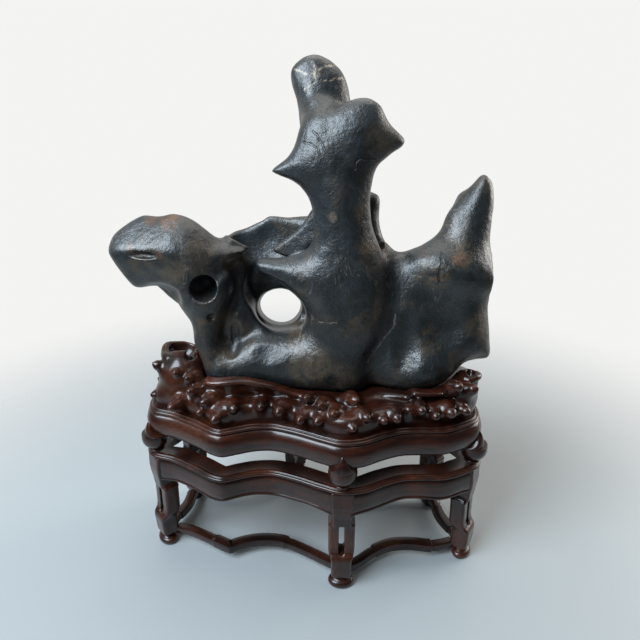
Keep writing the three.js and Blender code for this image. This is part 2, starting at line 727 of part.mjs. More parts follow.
const hollows = [
  [egg([-52, 0, 432], [36, 190, 30], { lean: -14, turn: 6 }), 8], // the round hole right through
  [egg([-62, 6, 462], [42, 40, 36]), 12], // under the beak
  [egg([-70, 24, 548], [60, 22, 46]), 12], // between the column and the wall behind
  [facet([-244, -42, 557], [-0.1, -0.66, 0.74], 78), 14], // flats of the arm
  [facet([-244, -55, 518], [-0.1, -0.95, -0.3], 62), 12],
  [facet([18, 9, 780], [0.05, -0.95, 0.3], 40), 8], // flat front of the finger
  [egg([-159, -62, 484], [21, 42, 22]), 4], // blind pit and the dimple under it
  [egg([-147, -62, 434], [6.5, 16, 7]), 3],
  [egg([-241, -63, 531], [23, 10, 3.8], { tip: 2 }), 3], // groove along the arm
  [egg([-240, -66, 452], [50, 56, 33], { tip: -20 }), 5], // underside of the arm
  [egg([-66, -96, 396], [54, 52, 50]), 6], // bowl of the lower body
  [egg([-120, -50, 402], [16, 29, 36], { tip: 8 }), 4], // recess beside the leg
  [egg([-206, -70, 390], [30, 40, 60]), 6], // left flank of the leg
  [egg([192, -66, 618], [58, 58, 66], { tip: 24 }), 4], // upper face of the wing
  [egg([215, -96, 428], [82, 70, 62]), 7], // dark face under its belly
  [egg([324, -6, 490], [50, 50, 96], { tip: -4 }), 2.5], // right side of the wing
  [egg([288, -64, 352], [60, 52, 30]), 6],
  [egg([136, -84, 716], [46, 46, 62], { tip: -20 }), 5], // head, right and left of its ridge
  [egg([-6, -118, 700], [70, 70, 110], { tip: 24 }), 6],
  [egg([-40, -84, 580], [50, 60, 60]), 10], // flanks of the neck
  [egg([134, -86, 600], [52, 62, 74]), 10],
  [egg([150, -84, 420], [34, 50, 90], { tip: 8 }), 8], // step between the column and the wing
  // Hollows on the back
  [egg([-95, 112, 520], [46, 46, 34], { tip: 10 }), 8],
  [egg([-60, 128, 400], [46, 60, 44]), 8],
  [egg([70, 120, 540], [30, 50, 40]), 8],
  [egg([62, 124, 440], [46, 56, 50], { tip: -14 }), 8],
  [egg([50, 126, 345], [52, 58, 36]), 8],
  [egg([-140, 110, 460], [26, 44, 40]), 8],
  [egg([252, 88, 520], [34, 50, 70], { tip: 8 }), 8],
  [egg([160, 100, 430], [34, 50, 50]), 8],
  [egg([245, 90, 400], [44, 56, 40]), 8],
  [egg([-240, 62, 560], [60, 30, 30]), 8],
  [egg([30, 88, 700], [22, 40, 60], { tip: 4 }), 10],
  [egg([20, 70, 636], [7, 30, 8]), 5],
  [egg([190, 80, 392], [9, 30, 11]), 5],
];

// The inner fin stands in the hollow between the column and the wall, so it comes last.
const hollowed = sculpt(grown, hollows);
const stoneForm = (x, y, z) => smoothMin(hollowed(x, y, z), innerFin(x, y, z), 5);
const STONE_CELL = 8; // grid of the stone's surface
const STONE_FACES = 3000;
const stone = simplify(surfaceOf(stoneForm, [-334, -106, 276], [314, 118, 820], STONE_CELL), STONE_FACES);

// The carved top: a crust of rockwork that holds the stone, on a polished rim. It is a little
// shorter than the lower stand.

const UPPER_LENGTH = 0.976; // of the lower stand's
function lowerPlan(offset, steps) {
  return Array.from({ length: PLAN.length * steps }, (_, i) => besidePlan(i / steps, offset));
}
function upperPlan(offset, steps) {
  return lowerPlan(offset, steps).map(([x, y]) => [x * UPPER_LENGTH, y]);
}

const CRUST_INSET = 10;
const crust = plate({
  outline: upperPlan(-CRUST_INSET, 2),
  y: 282, half: 24, edge: 16, power: 3.2, flat: true,
});

// The knobs along the front, [x, y, z]
const KNOB_RADIUS = 11.5;
const frontKnobs = [
  [-243, -34, 342], [-251, -36, 291], [-208, -52, 339], [-186, -58, 333], [-209, -82, 298],
  [-178, -76, 321], [-154, -86, 310], [-161, -92, 297], [-136, -103, 293], [-113, -95, 306],
  [-71, -90, 308], [-41, -92, 303], [1, -84, 320], [-7, -102, 296], [23, -92, 314], [42, -105, 309],
  [20, -107, 298], [68, -115, 292], [87, -105, 304], [69, -74, 327], [113, -98, 295], [133, -95, 299],
  [170, -90, 310], [192, -89, 301], [214, -84, 304], [238, -74, 301], [223, -73, 340], [248, -60, 329],
];
// Behind, the knobs follow the plan in two rows, wavy in height
const BACK_KNOBS = 22;
const backKnobs = Array.from({ length: BACK_KNOBS }, (_, i) => {
  const u = CORNERS.right.at + 0.8 + (i * (PLAN.length - CORNERS.right.at - 1.4)) / (BACK_KNOBS - 1);
  const [x, y] = besidePlan(u, -18 - (i % 2) * 14);
  return [x * UPPER_LENGTH, y, 297 + (i % 2) * 19 + 6 * Math.sin(i * 1.9)];
});

// 0 below from, 1 above to, and smooth in between.
function ease(from, to, v) {
  const t = Math.min(Math.max((v - from) / (to - from), 0), 1);
  return t * t * (3 - 2 * t);
}

// A smooth collar follows the stone where it goes into its socket, higher at the left and at the right.
const COLLAR_WIDTH = 14;
const COLLAR_LOW = 272;
function collar(x, z, fromStone) {
  const left = ease(-176, -160, x) * (1 - ease(-18, -2, x));
  const right = ease(150, 164, x) * (1 - ease(216, 228, x));
  const top = 313 + 3 * Math.sin(x * 0.05 + 0.6) + left * (20 - 0.05 * x) + right * 12;
  const level = Math.max(z - top, COLLAR_LOW - z);
  return level > COLLAR_WIDTH ? level : smoothMax(fromStone - COLLAR_WIDTH, level, 8);
}

const lumps = sculpt(
  [
    [crust, 10],
    [egg([-212, -8, 318], [42, 54, 50], { turn: 8 }), 18], // raised left end
    [egg([-236, 34, 300], [22, 30, 34]), 14],
    [egg([242, -12, 304], [30, 52, 34], { turn: -6 }), 16], // raised right end
    [egg([254, -24, 330], [15, 14, 16]), 8],
    ...[...frontKnobs, ...backKnobs].map((k) => [egg(k, [KNOB_RADIUS, KNOB_RADIUS, KNOB_RADIUS]), 10]),
    [egg([-226, -22, 361], [15, 14, 12]), 8], // curled lip of the crater at the left
    [egg([-201, -34, 355], [15, 13, 12]), 8],
    [egg([-238, 4, 354], [13, 14, 12]), 8],
  ],
  [],
);
const pits = sculpt(
  [
    [egg([-216, 2, 366], [26, 24, 30], { lean: 10 }), 1], // crater at the left
    [egg([255, -26, 342], [6, 8, 14]), 1], // ring at the right
  ],
  [],
);
function carvedForm(x, y, z) {
  const fromStone = stoneForm(x, y, z);
  const wood = smoothMin(lumps(x, y, z), collar(x, z, fromStone), 10);
  return smoothMax(smoothMax(wood, -pits(x, y, z), 7), SOCKET_PLAY - fromStone, 1);
}
const CARVED_CELL = 7;
const CARVED_FACES = 1250;
const rockwork = simplify(
  surfaceOf(carvedForm, [-300, -140, 252], [304, 134, 392], CARVED_CELL),
  CARVED_FACES,
);

// Rim, from its underside up: [offset, z]
const RIM_STEPS = 1.5; // stations to each point of the plan
const rimProfile = [
  [-3, RIM_Z], [5, RIM_Z + 7], [8, RIM_Z + 20], [6, RIM_Z + 34], [0, RIM_Z + 41],
  [1, RIM_Z + 46], [-5, RIM_TOP_Z + 2], [-12, RIM_TOP_Z],
];
const rim = loft(rimProfile.map(([offset, z]) => upperPlan(offset, RIM_STEPS).map((p) => [...p, z])));

// Stands a piece at a corner of the plan, in from it by inset, and turns it to face outward.
function standAt({ at, facing }, inset, geometry, length = 1) {
  const angle = THREE.MathUtils.degToRad(facing);
  const [x, y] = PLAN[at];
  geometry.rotateZ(angle);
  geometry.translate(x * length - inset * Math.cos(angle), y - inset * Math.sin(angle), 0);
  return toManifold(geometry);
}

// A pointed bud on the rim above each corner foot: [z, half width, how far out]
const leafLevels = [[RIM_Z, 20, 15], [RIM_Z + 12, 12, 14], [LEAF_TIP_Z, 1.5, 9.5]];
const LEAF_ROOT = -12;
function makeLeaf() {
  return loft(leafLevels.map(([z, half, out]) => [
    [LEAF_ROOT, -half, z], [out - 7, -half * 0.8, z], [out, 0, z], [out - 7, half * 0.8, z],
    [LEAF_ROOT, half, z],
  ]));
}
const carvedTop = Object.values(CORNERS).reduce(
  (solid, corner) => solid.add(standAt(corner, 0, makeLeaf(), UPPER_LENGTH)),
  toManifold(rockwork).add(toManifold(rim)),
);

// Lower stand

// A bar along the plan between the places from and to: sectionAt gives its section as [offset, z]
// for the way along, from 0 to 1.
function alongPlan(from, to, steps, sectionAt) {
  const rings = Array.from({ length: steps + 1 }, (_, i) => {
    const t = i / steps;
    return sectionAt(t).map(([offset, z]) => [...besidePlan(from + (to - from) * t, offset), z]);
  });
  return loft(rings);
}

// Open frame with a raised double lip, from its underside up: [offset, z]
const frameSection = [
  [3, FRAME_Z], [8, FRAME_Z + 2.5], [6.5, FRAME_Z + 7], [1, FRAME_Z + LIP_HEIGHT],
  [-5, FRAME_Z + 7.5], [-9, FRAME_TOP_Z],
];
const outside = loft(frameSection.map(([offset, z]) => lowerPlan(offset, 1).map((p) => [...p, z])));
const inside = loft(
  [FRAME_Z - 5, FRAME_TOP_Z + 5].map((z) => lowerPlan(-FRAME_WIDTH, 1).map((p) => [...p, z])),
);
const frame = toManifold(outside).subtract(toManifold(inside));

// A leg, from its foot up: [z, width, depth, how far its face stands out of its middle]
const legLevels = [
  [FOOT_HEIGHT + GAP, 30, 27, 10], [25, 33, 30, 13], [54, 33, 30, 14], [67, LEG_WIDTH, LEG_DEPTH, 5],
  [117, LEG_WIDTH, LEG_DEPTH, 3], [137, 31, LEG_DEPTH, 6], [158, 34, LEG_DEPTH, 10],
  [FRAME_Z - GAP, 36, LEG_DEPTH, 8],
];
const LEG_CHAMFER = 0.3; // of the width, taken off each corner

function legSection([z, width, depth, out]) {
  const [a, b] = [width / 2, depth / 2];
  const [c, d] = [a * (1 - LEG_CHAMFER), b * (1 - LEG_CHAMFER)];
  const outline = [[b, -c], [b, c], [d, a], [-d, a], [-b, c], [-b, -c], [-d, -a], [d, -a]];
  return outline.map(([x, y]) => [x + out - b, y, z]);
}

// The slot that goes through a leg, rounded at both ends
function makeSlot() {
  const radius = SLOT_WIDTH / 2;
  const shape = new THREE.Shape();
  shape.absarc(0, SLOT_HIGH - radius, radius, 0, Math.PI);
  shape.absarc(0, SLOT_LOW + radius, radius, Math.PI, 2 * Math.PI);
  const options = { depth: 2 * LEG_DEPTH, curveSegments: 2, bevelEnabled: false };
  const slot = new THREE.ExtrudeGeometry(shape, options);
  slot.rotateX(Math.PI / 2);
  slot.rotateZ(Math.PI / 2);
  return slot.translate(-LEG_DEPTH, 0, 0);
}

// The room a leg takes from the pieces that meet its sides
function makeRoom() {
  const [back, front] = [-60, 40];
  return loft(legLevels.map(([z, width]) => {
    const half = width / 2 + GAP;
    return [[back, -half, z], [front, -half, z], [front, half, z], [back, half, z]];
  }));
}

// An apron between two legs: its lower edge dips where it meets them.
const APRON_STEPS = 8;
const APRON_ENDS = 0.2; // how much of its length dips at each end
function makeApron(from, to) {
  const top = FRAME_Z - GAP;
  const inner = 4 - APRON_DEPTH;
  return alongPlan(from, to, APRON_STEPS, (t) => {
    const nearEnd = Math.max(0, 1 - Math.min(t, 1 - t) / APRON_ENDS);
    const wave = 2 * Math.cos((t - 0.5) * 4 * Math.PI);
    const low = top - APRON_HEIGHT - 11 * nearEnd * nearEnd + wave * (1 - nearEnd);
    return [[2, top], [6, top - 12], [5, low + 8], [1, low], [inner, low], [inner, top]];
  });
}

// A stretcher between two legs: it curves less than the plan does.
const STRETCHER_STEPS = 10;
function makeStretcher(from, to) {
  const high = STRETCHER_Z + STRETCHER_HEIGHT;
  return alongPlan(from, to, STRETCHER_STEPS, (t) => {
    const outer = -8 - 14 * Math.sin(Math.PI * t) ** 2;
    const inner = outer - STRETCHER_WIDTH;
    return [[outer, STRETCHER_Z], [outer, high], [inner, high], [inner, STRETCHER_Z]];
  });
}

function turned(profile) {
  const lathe = new THREE.LatheGeometry(profile.map(([r, z]) => new THREE.Vector2(r, z)), 10);
  lathe.rotateX(Math.PI / 2);
  return lathe;
}

function makeBunFoot() {
  const wide = FOOT_WIDTH / 2;
  const foot = turned([
    [0, 0], [wide - 5, 0], [wide, 4], [wide - 1, 10], [wide - 8, FOOT_HEIGHT], [0, FOOT_HEIGHT],
  ]);
  return foot.scale(FOOT_DEPTH / FOOT_WIDTH, 1, 1);
}

// A bulb between the two tiers, on a short neck
function makeKnobFoot() {
  const low = FRAME_Z + LIP_HEIGHT + GAP;
  return turned([
    [0, low], [12, low], [12, low + 5], [10, low + 8], [18, low + 18], [KNOB_FOOT_RADIUS, low + 27],
    [19, RIM_Z - GAP], [0, RIM_Z - GAP],
  ]);
}

// The whole object

const object = new THREE.Group();
function addPiece(name, solid, material) {
  const mesh = new THREE.Mesh(fromManifold(solid), material);
  mesh.name = name;
  mesh.position.set(-CENTRE[0], -CENTRE[1], 0);
  object.add(mesh);
}

addPiece('stone', toManifold(stone), STONE);
addPiece('carved_top', carvedTop, CARVED_WOOD);
addPiece('open_frame', frame, ROSEWOOD);
const corners = Object.entries(CORNERS);
corners.forEach(([name, corner], i) => {
  const next = corners[(i + 1) % corners.length][1];
  const to = next.at > corner.at ? next.at : next.at + PLAN.length;
  const betweenLegs = (geometry) => [corner, next].reduce(
    (solid, end) => solid.subtract(standAt(end, LEG_INSET, makeRoom())),
    toManifold(geometry),
  );
  const leg = standAt(corner, LEG_INSET, loft(legLevels.map(legSection)));
  addPiece(`leg_${name}`, leg.subtract(standAt(corner, LEG_INSET, makeSlot())), ROSEWOOD);
  addPiece(`bun_foot_${name}`, standAt(corner, LEG_INSET, makeBunFoot()), ROSEWOOD);
  addPiece(`knob_foot_${name}`, standAt(corner, KNOB_INSET, makeKnobFoot()), CARVED_WOOD);
  addPiece(`apron_${corner.side}`, betweenLegs(makeApron(corner.at, to)), ROSEWOOD);
  addPiece(`stretcher_${corner.side}`, betweenLegs(makeStretcher(corner.at, to)), ROSEWOOD);
});

export default object;
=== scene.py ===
"""A scholar's rock on its carved wooden stand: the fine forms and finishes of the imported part."""

from __future__ import annotations

import logging
import math
from dataclasses import dataclass, field
from enum import Enum
from typing import Callable, Iterable, Sequence

import bpy
import numpy as np
from mathutils import Matrix, Vector


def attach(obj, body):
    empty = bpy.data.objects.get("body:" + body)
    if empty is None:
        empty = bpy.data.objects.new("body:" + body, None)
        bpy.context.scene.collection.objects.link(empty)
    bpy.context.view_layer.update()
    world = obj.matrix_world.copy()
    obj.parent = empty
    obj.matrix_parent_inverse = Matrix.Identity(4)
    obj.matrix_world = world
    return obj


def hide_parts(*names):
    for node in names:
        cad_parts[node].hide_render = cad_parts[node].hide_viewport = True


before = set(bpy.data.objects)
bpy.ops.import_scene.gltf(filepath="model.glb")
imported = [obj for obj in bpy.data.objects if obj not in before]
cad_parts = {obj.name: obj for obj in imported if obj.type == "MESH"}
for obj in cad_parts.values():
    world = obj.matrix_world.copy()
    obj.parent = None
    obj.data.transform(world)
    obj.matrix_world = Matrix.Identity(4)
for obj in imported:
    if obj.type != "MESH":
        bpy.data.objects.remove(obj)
log = logging.getLogger("scholars_rock")

Array = np.ndarray
Pair = tuple[float, float]
Triple = tuple[float, float, float]

# The plan's numbers are millimetres from its own middle. This moves them to the row frame.
CENTRE_SHIFT = (7.5, 11.6, 0.0)
PER_METRE = 1000.0
BODY = "root"
Socket = bpy.types.NodeSocket
Material = bpy.types.Material
Piece = bpy.types.Object


class Slot(Enum):
    """The record's material slots."""

    STONE = "stone"
    CARVED_WOOD = "carved_wood"
    ROSEWOOD = "rosewood"


class Corner(Enum):
    """The six corners of the stand: name, plan point, way it faces, and the side that follows it."""

    LEFT = ("left", 0, 226.0, "front_left")
    FRONT = ("front", 10, 272.0, "front_right")
    RIGHT = ("right", 17, 327.0, "right")
    BACK_RIGHT = ("back_right", 20, 42.0, "back_right")
    BACK = ("back", 26, 90.0, "back_left")
    BACK_LEFT = ("back_left", 31, 140.0, "left")

    @property
    def label(self) -> str:
        """The corner's name in the CAD nodes."""
        return self.value[0]

    @property
    def at(self) -> int:
        """The number of the plan point."""
        return self.value[1]

    @property
    def facing(self) -> float:
        """The way the leg faces, in radians from +X."""
        return math.radians(self.value[2])

    @property
    def side(self) -> str:
        """The name of the side that follows this corner."""
        return self.value[3]

    @property
    def next(self) -> "Corner":
        """The corner at the other end of that side."""
        corners = list(Corner)
        return corners[(corners.index(self) + 1) % len(corners)]


# Curves


def smooth_outline(points: Sequence[Sequence[float]], steps: int) -> Array:
    """A smooth closed curve through the points, with tangents no longer than the step.

    Args:
        points: The points, in order round the curve.
        steps: How many places from each point to the next.

    Returns:
        The places along the curve, one row each.
    """
    count = len(points) * steps
    return curve_at(np.array(points, float), np.arange(count) / steps)


def curve_at(points: Array, u: Array) -> Array:
    """Places on the smooth closed curve through the points.

    Args:
        points: The points, in order round the curve.
        u: Places along it, where 1 is one point on.

    Returns:
        One row for each place.
    """
    n = len(points)
    i = np.floor(u).astype(int)
    t = (u - i)[:, None]
    p0, p1, p2, p3 = (points[(i + k) % n] for k in (-1, 0, 1, 2))
    span = np.linalg.norm(p2 - p1, axis=1, keepdims=True)

    def tangent(a: Array, b: Array) -> Array:
        """Half the way from a to b, cut to the span.

        Args:
            a: The point before.
            b: The point after.

        Returns:
            The tangent.
        """
        m = (b - a) / 2
        length = np.maximum(np.linalg.norm(m, axis=1, keepdims=True), 1e-9)
        return m * np.minimum(1, span / length)

    t2, t3 = t * t, t * t * t
    return (
        (2 * t3 - 3 * t2 + 1) * p1
        + (t3 - 2 * t2 + t) * tangent(p0, p2)
        + (3 * t2 - 2 * t3) * p2
        + (t3 - t2) * tangent(p1, p3)
    )


def smooth_step(t: Array | float) -> Array | float:
    """0 below 0, 1 above 1, and smooth in between."""
    t = np.clip(t, 0, 1)
    return t * t * (3 - 2 * t)


def between(table: Sequence[Sequence[float]], z: Array) -> list[Array]:
    """Reads a table of levels at any height, rounded off between its rows.

    Args:
        table: Rows that start with a height.
        z: The heights to read it at.

    Returns:
        One array for each column after the first.
    """
    count, reach = 400, 4
    rows = np.array(table, float)
    fine = np.linspace(rows[0, 0], rows[-1, 0], count)
    window = np.hanning(2 * reach + 1)
    columns = []
    for k in range(1, rows.shape[1]):
        values = np.interp(fine, rows[:, 0], rows[:, k])
        padded = np.pad(values, reach, mode="edge")
        columns.append(np.interp(z, fine, np.convolve(padded, window / window.sum(), "valid")))
    return columns


# Forms: each is negative inside, and about the distance in mm outside


def smooth_min(a: Array, b: Array, blend: float) -> Array:
    """The lesser of two forms, run together over the blend."""
    h = np.maximum(blend - np.abs(a - b), 0) / blend
    return np.minimum(a, b) - h * h * blend * 0.25


def smooth_max(a: Array, b: Array, blend: float) -> Array:
    """The greater of two forms, rounded off over the blend."""
    return -smooth_min(-a, -b, blend)


class Form:
    """A shape in the plan's millimetres."""

    def box(self) -> tuple[Array, Array]:
        """Lowest and highest corner of the form."""
        raise NotImplementedError

    def at(self, x: Array, y: Array, z: Array) -> Array:
        """The form's value at places that broadcast together."""
        raise NotImplementedError


@dataclass(frozen=True)
class Egg(Form):
    """An egg-shaped body, leant about X, then tipped about Y, then turned about Z, in degrees."""

    centre: Triple
    radii: Triple
    lean: float = 0.0
    tip: float = 0.0
    turn: float = 0.0

    def matrix(self) -> Array:
        """Turns a place into the egg's own directions.

        Returns:
            The turning, as rows.
        """
        a, b, c = (math.radians(v) for v in (self.lean, self.tip, self.turn))
        lean = Matrix.Rotation(a, 3, "X")
        tip = Matrix.Rotation(b, 3, "Y")
        turn = Matrix.Rotation(c, 3, "Z")
        return np.array(turn @ tip @ lean, float).T

    def box(self) -> tuple[Array, Array]:
        """Lowest and highest corner of the egg, as turned."""
        half = np.sqrt(((self.matrix().T * np.array(self.radii)) ** 2).sum(1))
        return self.centre - half, self.centre + half

    def at(self, x: Array, y: Array, z: Array) -> Array:
        """The egg's value, true near its surface.

        Args:
            x: Places along X.
            y: Places along Y.
            z: Places up.

        Returns:
            The value, below 0 inside.
        """
        d = [x - self.centre[0], y - self.centre[1], z - self.centre[2]]
        near: Array | float = 0.0
        steep: Array | float = 0.0
        for row, radius in zip(self.matrix(), self.radii):
            q = (row[0] * d[0] + row[1] * d[1] + row[2] * d[2]) / radius
            near = near + q * q
            steep = steep + (q / radius) ** 2
        near = np.sqrt(near)
        return near * (near - 1) / np.maximum(np.sqrt(steep), 1e-9)


@dataclass(frozen=True)
class Bar(Form):
    """A round bar from one point to another, with a radius at each end."""

    start: Triple
    end: Triple
    radius_start: float
    radius_end: float

    def box(self) -> tuple[Array, Array]:
        """Lowest and highest corner of the bar."""
        radius = max(self.radius_start, self.radius_end)
        return np.minimum(self.start, self.end) - radius, np.maximum(self.start, self.end) + radius

    def at(self, x: Array, y: Array, z: Array) -> Array:
        """The distance to the bar.

        Args:
            x: Places along X.
            y: Places along Y.
            z: Places up.

        Returns:
            The distance, below 0 inside.
        """
        along = np.subtract(self.end, self.start)
        d = [x - self.start[0], y - self.start[1], z - self.start[2]]
        t = np.clip(sum(v * a for v, a in zip(d, along)) / (along @ along), 0, 1)
        square = sum((v - t * a) ** 2 for v, a in zip(d, along))
        return np.sqrt(square) - (self.radius_start + (self.radius_end - self.radius_start) * t)


@dataclass(frozen=True)
class Facet(Form):
    """Half a ball, which shaves a flat where it is taken out: the way is out of the flat."""

    point: Triple
    way: Triple
    reach: float

    def box(self) -> tuple[Array, Array]:
        """Lowest and highest corner of the whole ball."""
        point = np.array(self.point)
        return point - self.reach, point + self.reach

    def at(self, x: Array, y: Array, z: Array) -> Array:
        """The half ball's value.

        Args:
            x: Places along X.
            y: Places along Y.
            z: Places up.

        Returns:
            The value, below 0 inside.
        """
        way = np.array(self.way) / np.linalg.norm(self.way)
        d = [x - self.point[0], y - self.point[1], z - self.point[2]]
        ahead = sum(v * w for v, w in zip(d, way))
        far = np.sqrt(sum(v * v for v in d)) - self.reach
        return smooth_max(-ahead, far, 12)


@dataclass(frozen=True)
class Plate(Form):
    """A plate with a domed face: an outline seen from the front, thick in the middle, thin at its edge.

    edge is how far in from the outline the face curves, power how boxy the edge is, lean and turn how
    much the middle plane goes back per mm up and per mm right, and taper how much thicker it gets per
    100 mm down. A flat plate lies down: its outline is in plan, and its thickness goes up.
    """

    outline: Sequence[Sequence[float]]
    y: float
    half: float
    edge: float
    power: float = 1.9
    lean: float = 0.0
    turn: float = 0.0
    pivot: Pair = (0.0, 0.0)
    taper: float = 0.0
    soft: float = 10.0
    flat: bool = False
    step: float = 2.0
    margin: float = 66.0
    soft_depth: float = 24.0
    maps: dict = field(default_factory=dict)

    def box(self) -> tuple[Array, Array]:
        """Lowest and highest corner of the plate, with room for its lean.

        Returns:
            The lowest corner and the highest.
        """
        curve = smooth_outline(self.outline, 5)
        low, high = curve.min(0), curve.max(0)
        reach = self.half * 1.4 + 14
        corners = []
        for place, level in ((low, self.y - reach), (high, self.y + reach)):
            corner = (place[0], place[1], level) if self.flat else (place[0], level, place[1])
            corners.append(np.array(corner))
        return corners[0], corners[1]

    def outline_map(self) -> tuple[Array, Array]:
        """The distance to the outline on a grid, smoothed well inside it.

        Returns:
            The grid's lowest corner, and the distances.
        """
        if "map" in self.maps:
            return self.maps["low"], self.maps["map"]
        curve = smooth_outline(self.outline, 5)
        low = curve.min(0) - self.margin
        high = curve.max(0) + self.margin
        count = np.ceil((high - low) / self.step).astype(int) + 1
        x = low[0] + self.step * np.arange(count[0])[:, None]
        z = low[1] + self.step * np.arange(count[1])[None]
        nearest = np.full(count, 1e9)
        inside = np.zeros(count, bool)
        for (ax, az), (bx, bz) in zip(np.roll(curve, 1, axis=0), curve):
            ex, ez = bx - ax, bz - az
            t = np.clip(((x - ax) * ex + (z - az) * ez) / (ex * ex + ez * ez + 1e-12), 0, 1)
            nearest = np.minimum(nearest, (x - ax - ex * t) ** 2 + (z - az - ez * t) ** 2)
            inside ^= ((az > z) != (bz > z)) & (x < ax + (z - az) * ex / (ez or 1e-9))
        exact = np.where(inside, -np.sqrt(nearest), np.sqrt(nearest))
        smooth = box_smooth(exact, max(int(self.soft // 4), 1) * 2)
        share = smooth_step(-exact / self.soft_depth)
        self.maps["low"] = low
        self.maps["map"] = exact * (1 - share) + smooth * share
        return low, self.maps["map"]

    def from_outline(self, x: Array, z: Array) -> Array:
        """The smoothed distance to the outline at any place.

        Args:
            x: Places along X.
            z: The places across it.

        Returns:
            The distance, below 0 inside.
        """
        low, grid = self.outline_map()
        u, v = (x - low[0]) / self.step, (z - low[1]) / self.step
        uc = np.clip(u, 0, grid.shape[0] - 1.001)
        vc = np.clip(v, 0, grid.shape[1] - 1.001)
        i, j = uc.astype(int), vc.astype(int)
        a, b = uc - i, vc - j
        lower = grid[i, j] * (1 - a) + grid[i + 1, j] * a
        upper = grid[i, j + 1] * (1 - a) + grid[i + 1, j + 1] * a
        return lower * (1 - b) + upper * b + np.hypot(u - uc, v - vc) * self.step

    def at(self, x: Array, y: Array, z: Array) -> Array:
        """The plate's value.

        Args:
            x: Places along X.
            y: Places along Y.
            z: Places up.

        Returns:
            The value, below 0 inside.
        """
        depth, up = (z, y) if self.flat else (y, z)
        middle = self.y + self.turn * (x - self.pivot[0]) + self.lean * (up - self.pivot[1])
        thick = np.maximum(self.half * (1 + self.taper * (self.pivot[1] - up) / 100), 6)
        a = np.maximum(self.from_outline(x, up) + self.edge, 0) / self.edge
        b = np.abs(depth - middle) / thick
        p = self.power
        a_power, b_power = a**p, b**p
        n = np.maximum((a_power + b_power) ** (1 / p), 0.3)
        fall = n ** (1 - p)
        ga = fall * np.maximum(a, 1e-6) ** (p - 1) / self.edge
        gb = fall * np.maximum(b, 1e-6) ** (p - 1) / thick
        return (n - 1) / np.hypot(ga, gb)


def box_smooth(grid: Array, reach: int) -> Array:
    """Smooths a map: three passes of a running mean each way.

    Args:
        grid: The map.
        reach: How many cells the mean reaches to each side.

    Returns:
        The smoothed map.
    """
    size = 2 * reach + 1
    for _ in range(3):
        for axis in (0, 1):
            pad = [(reach + 1, reach) if k == axis else (0, 0) for k in (0, 1)]
            total = np.cumsum(np.pad(grid, pad, mode="edge"), axis=axis)
            high = np.take(total, range(size, total.shape[axis]), axis=axis)
            low = np.take(total, range(0, total.shape[axis] - size), axis=axis)
            grid = (high - low) / size
    return grid


Step = tuple[Form, float]
Join = Callable[[Array, Array, float], Array]


# The corners of a grid cell
CELL_CORNERS = [(a, b, c) for a in (0, 1) for b in (0, 1) for c in (0, 1)]


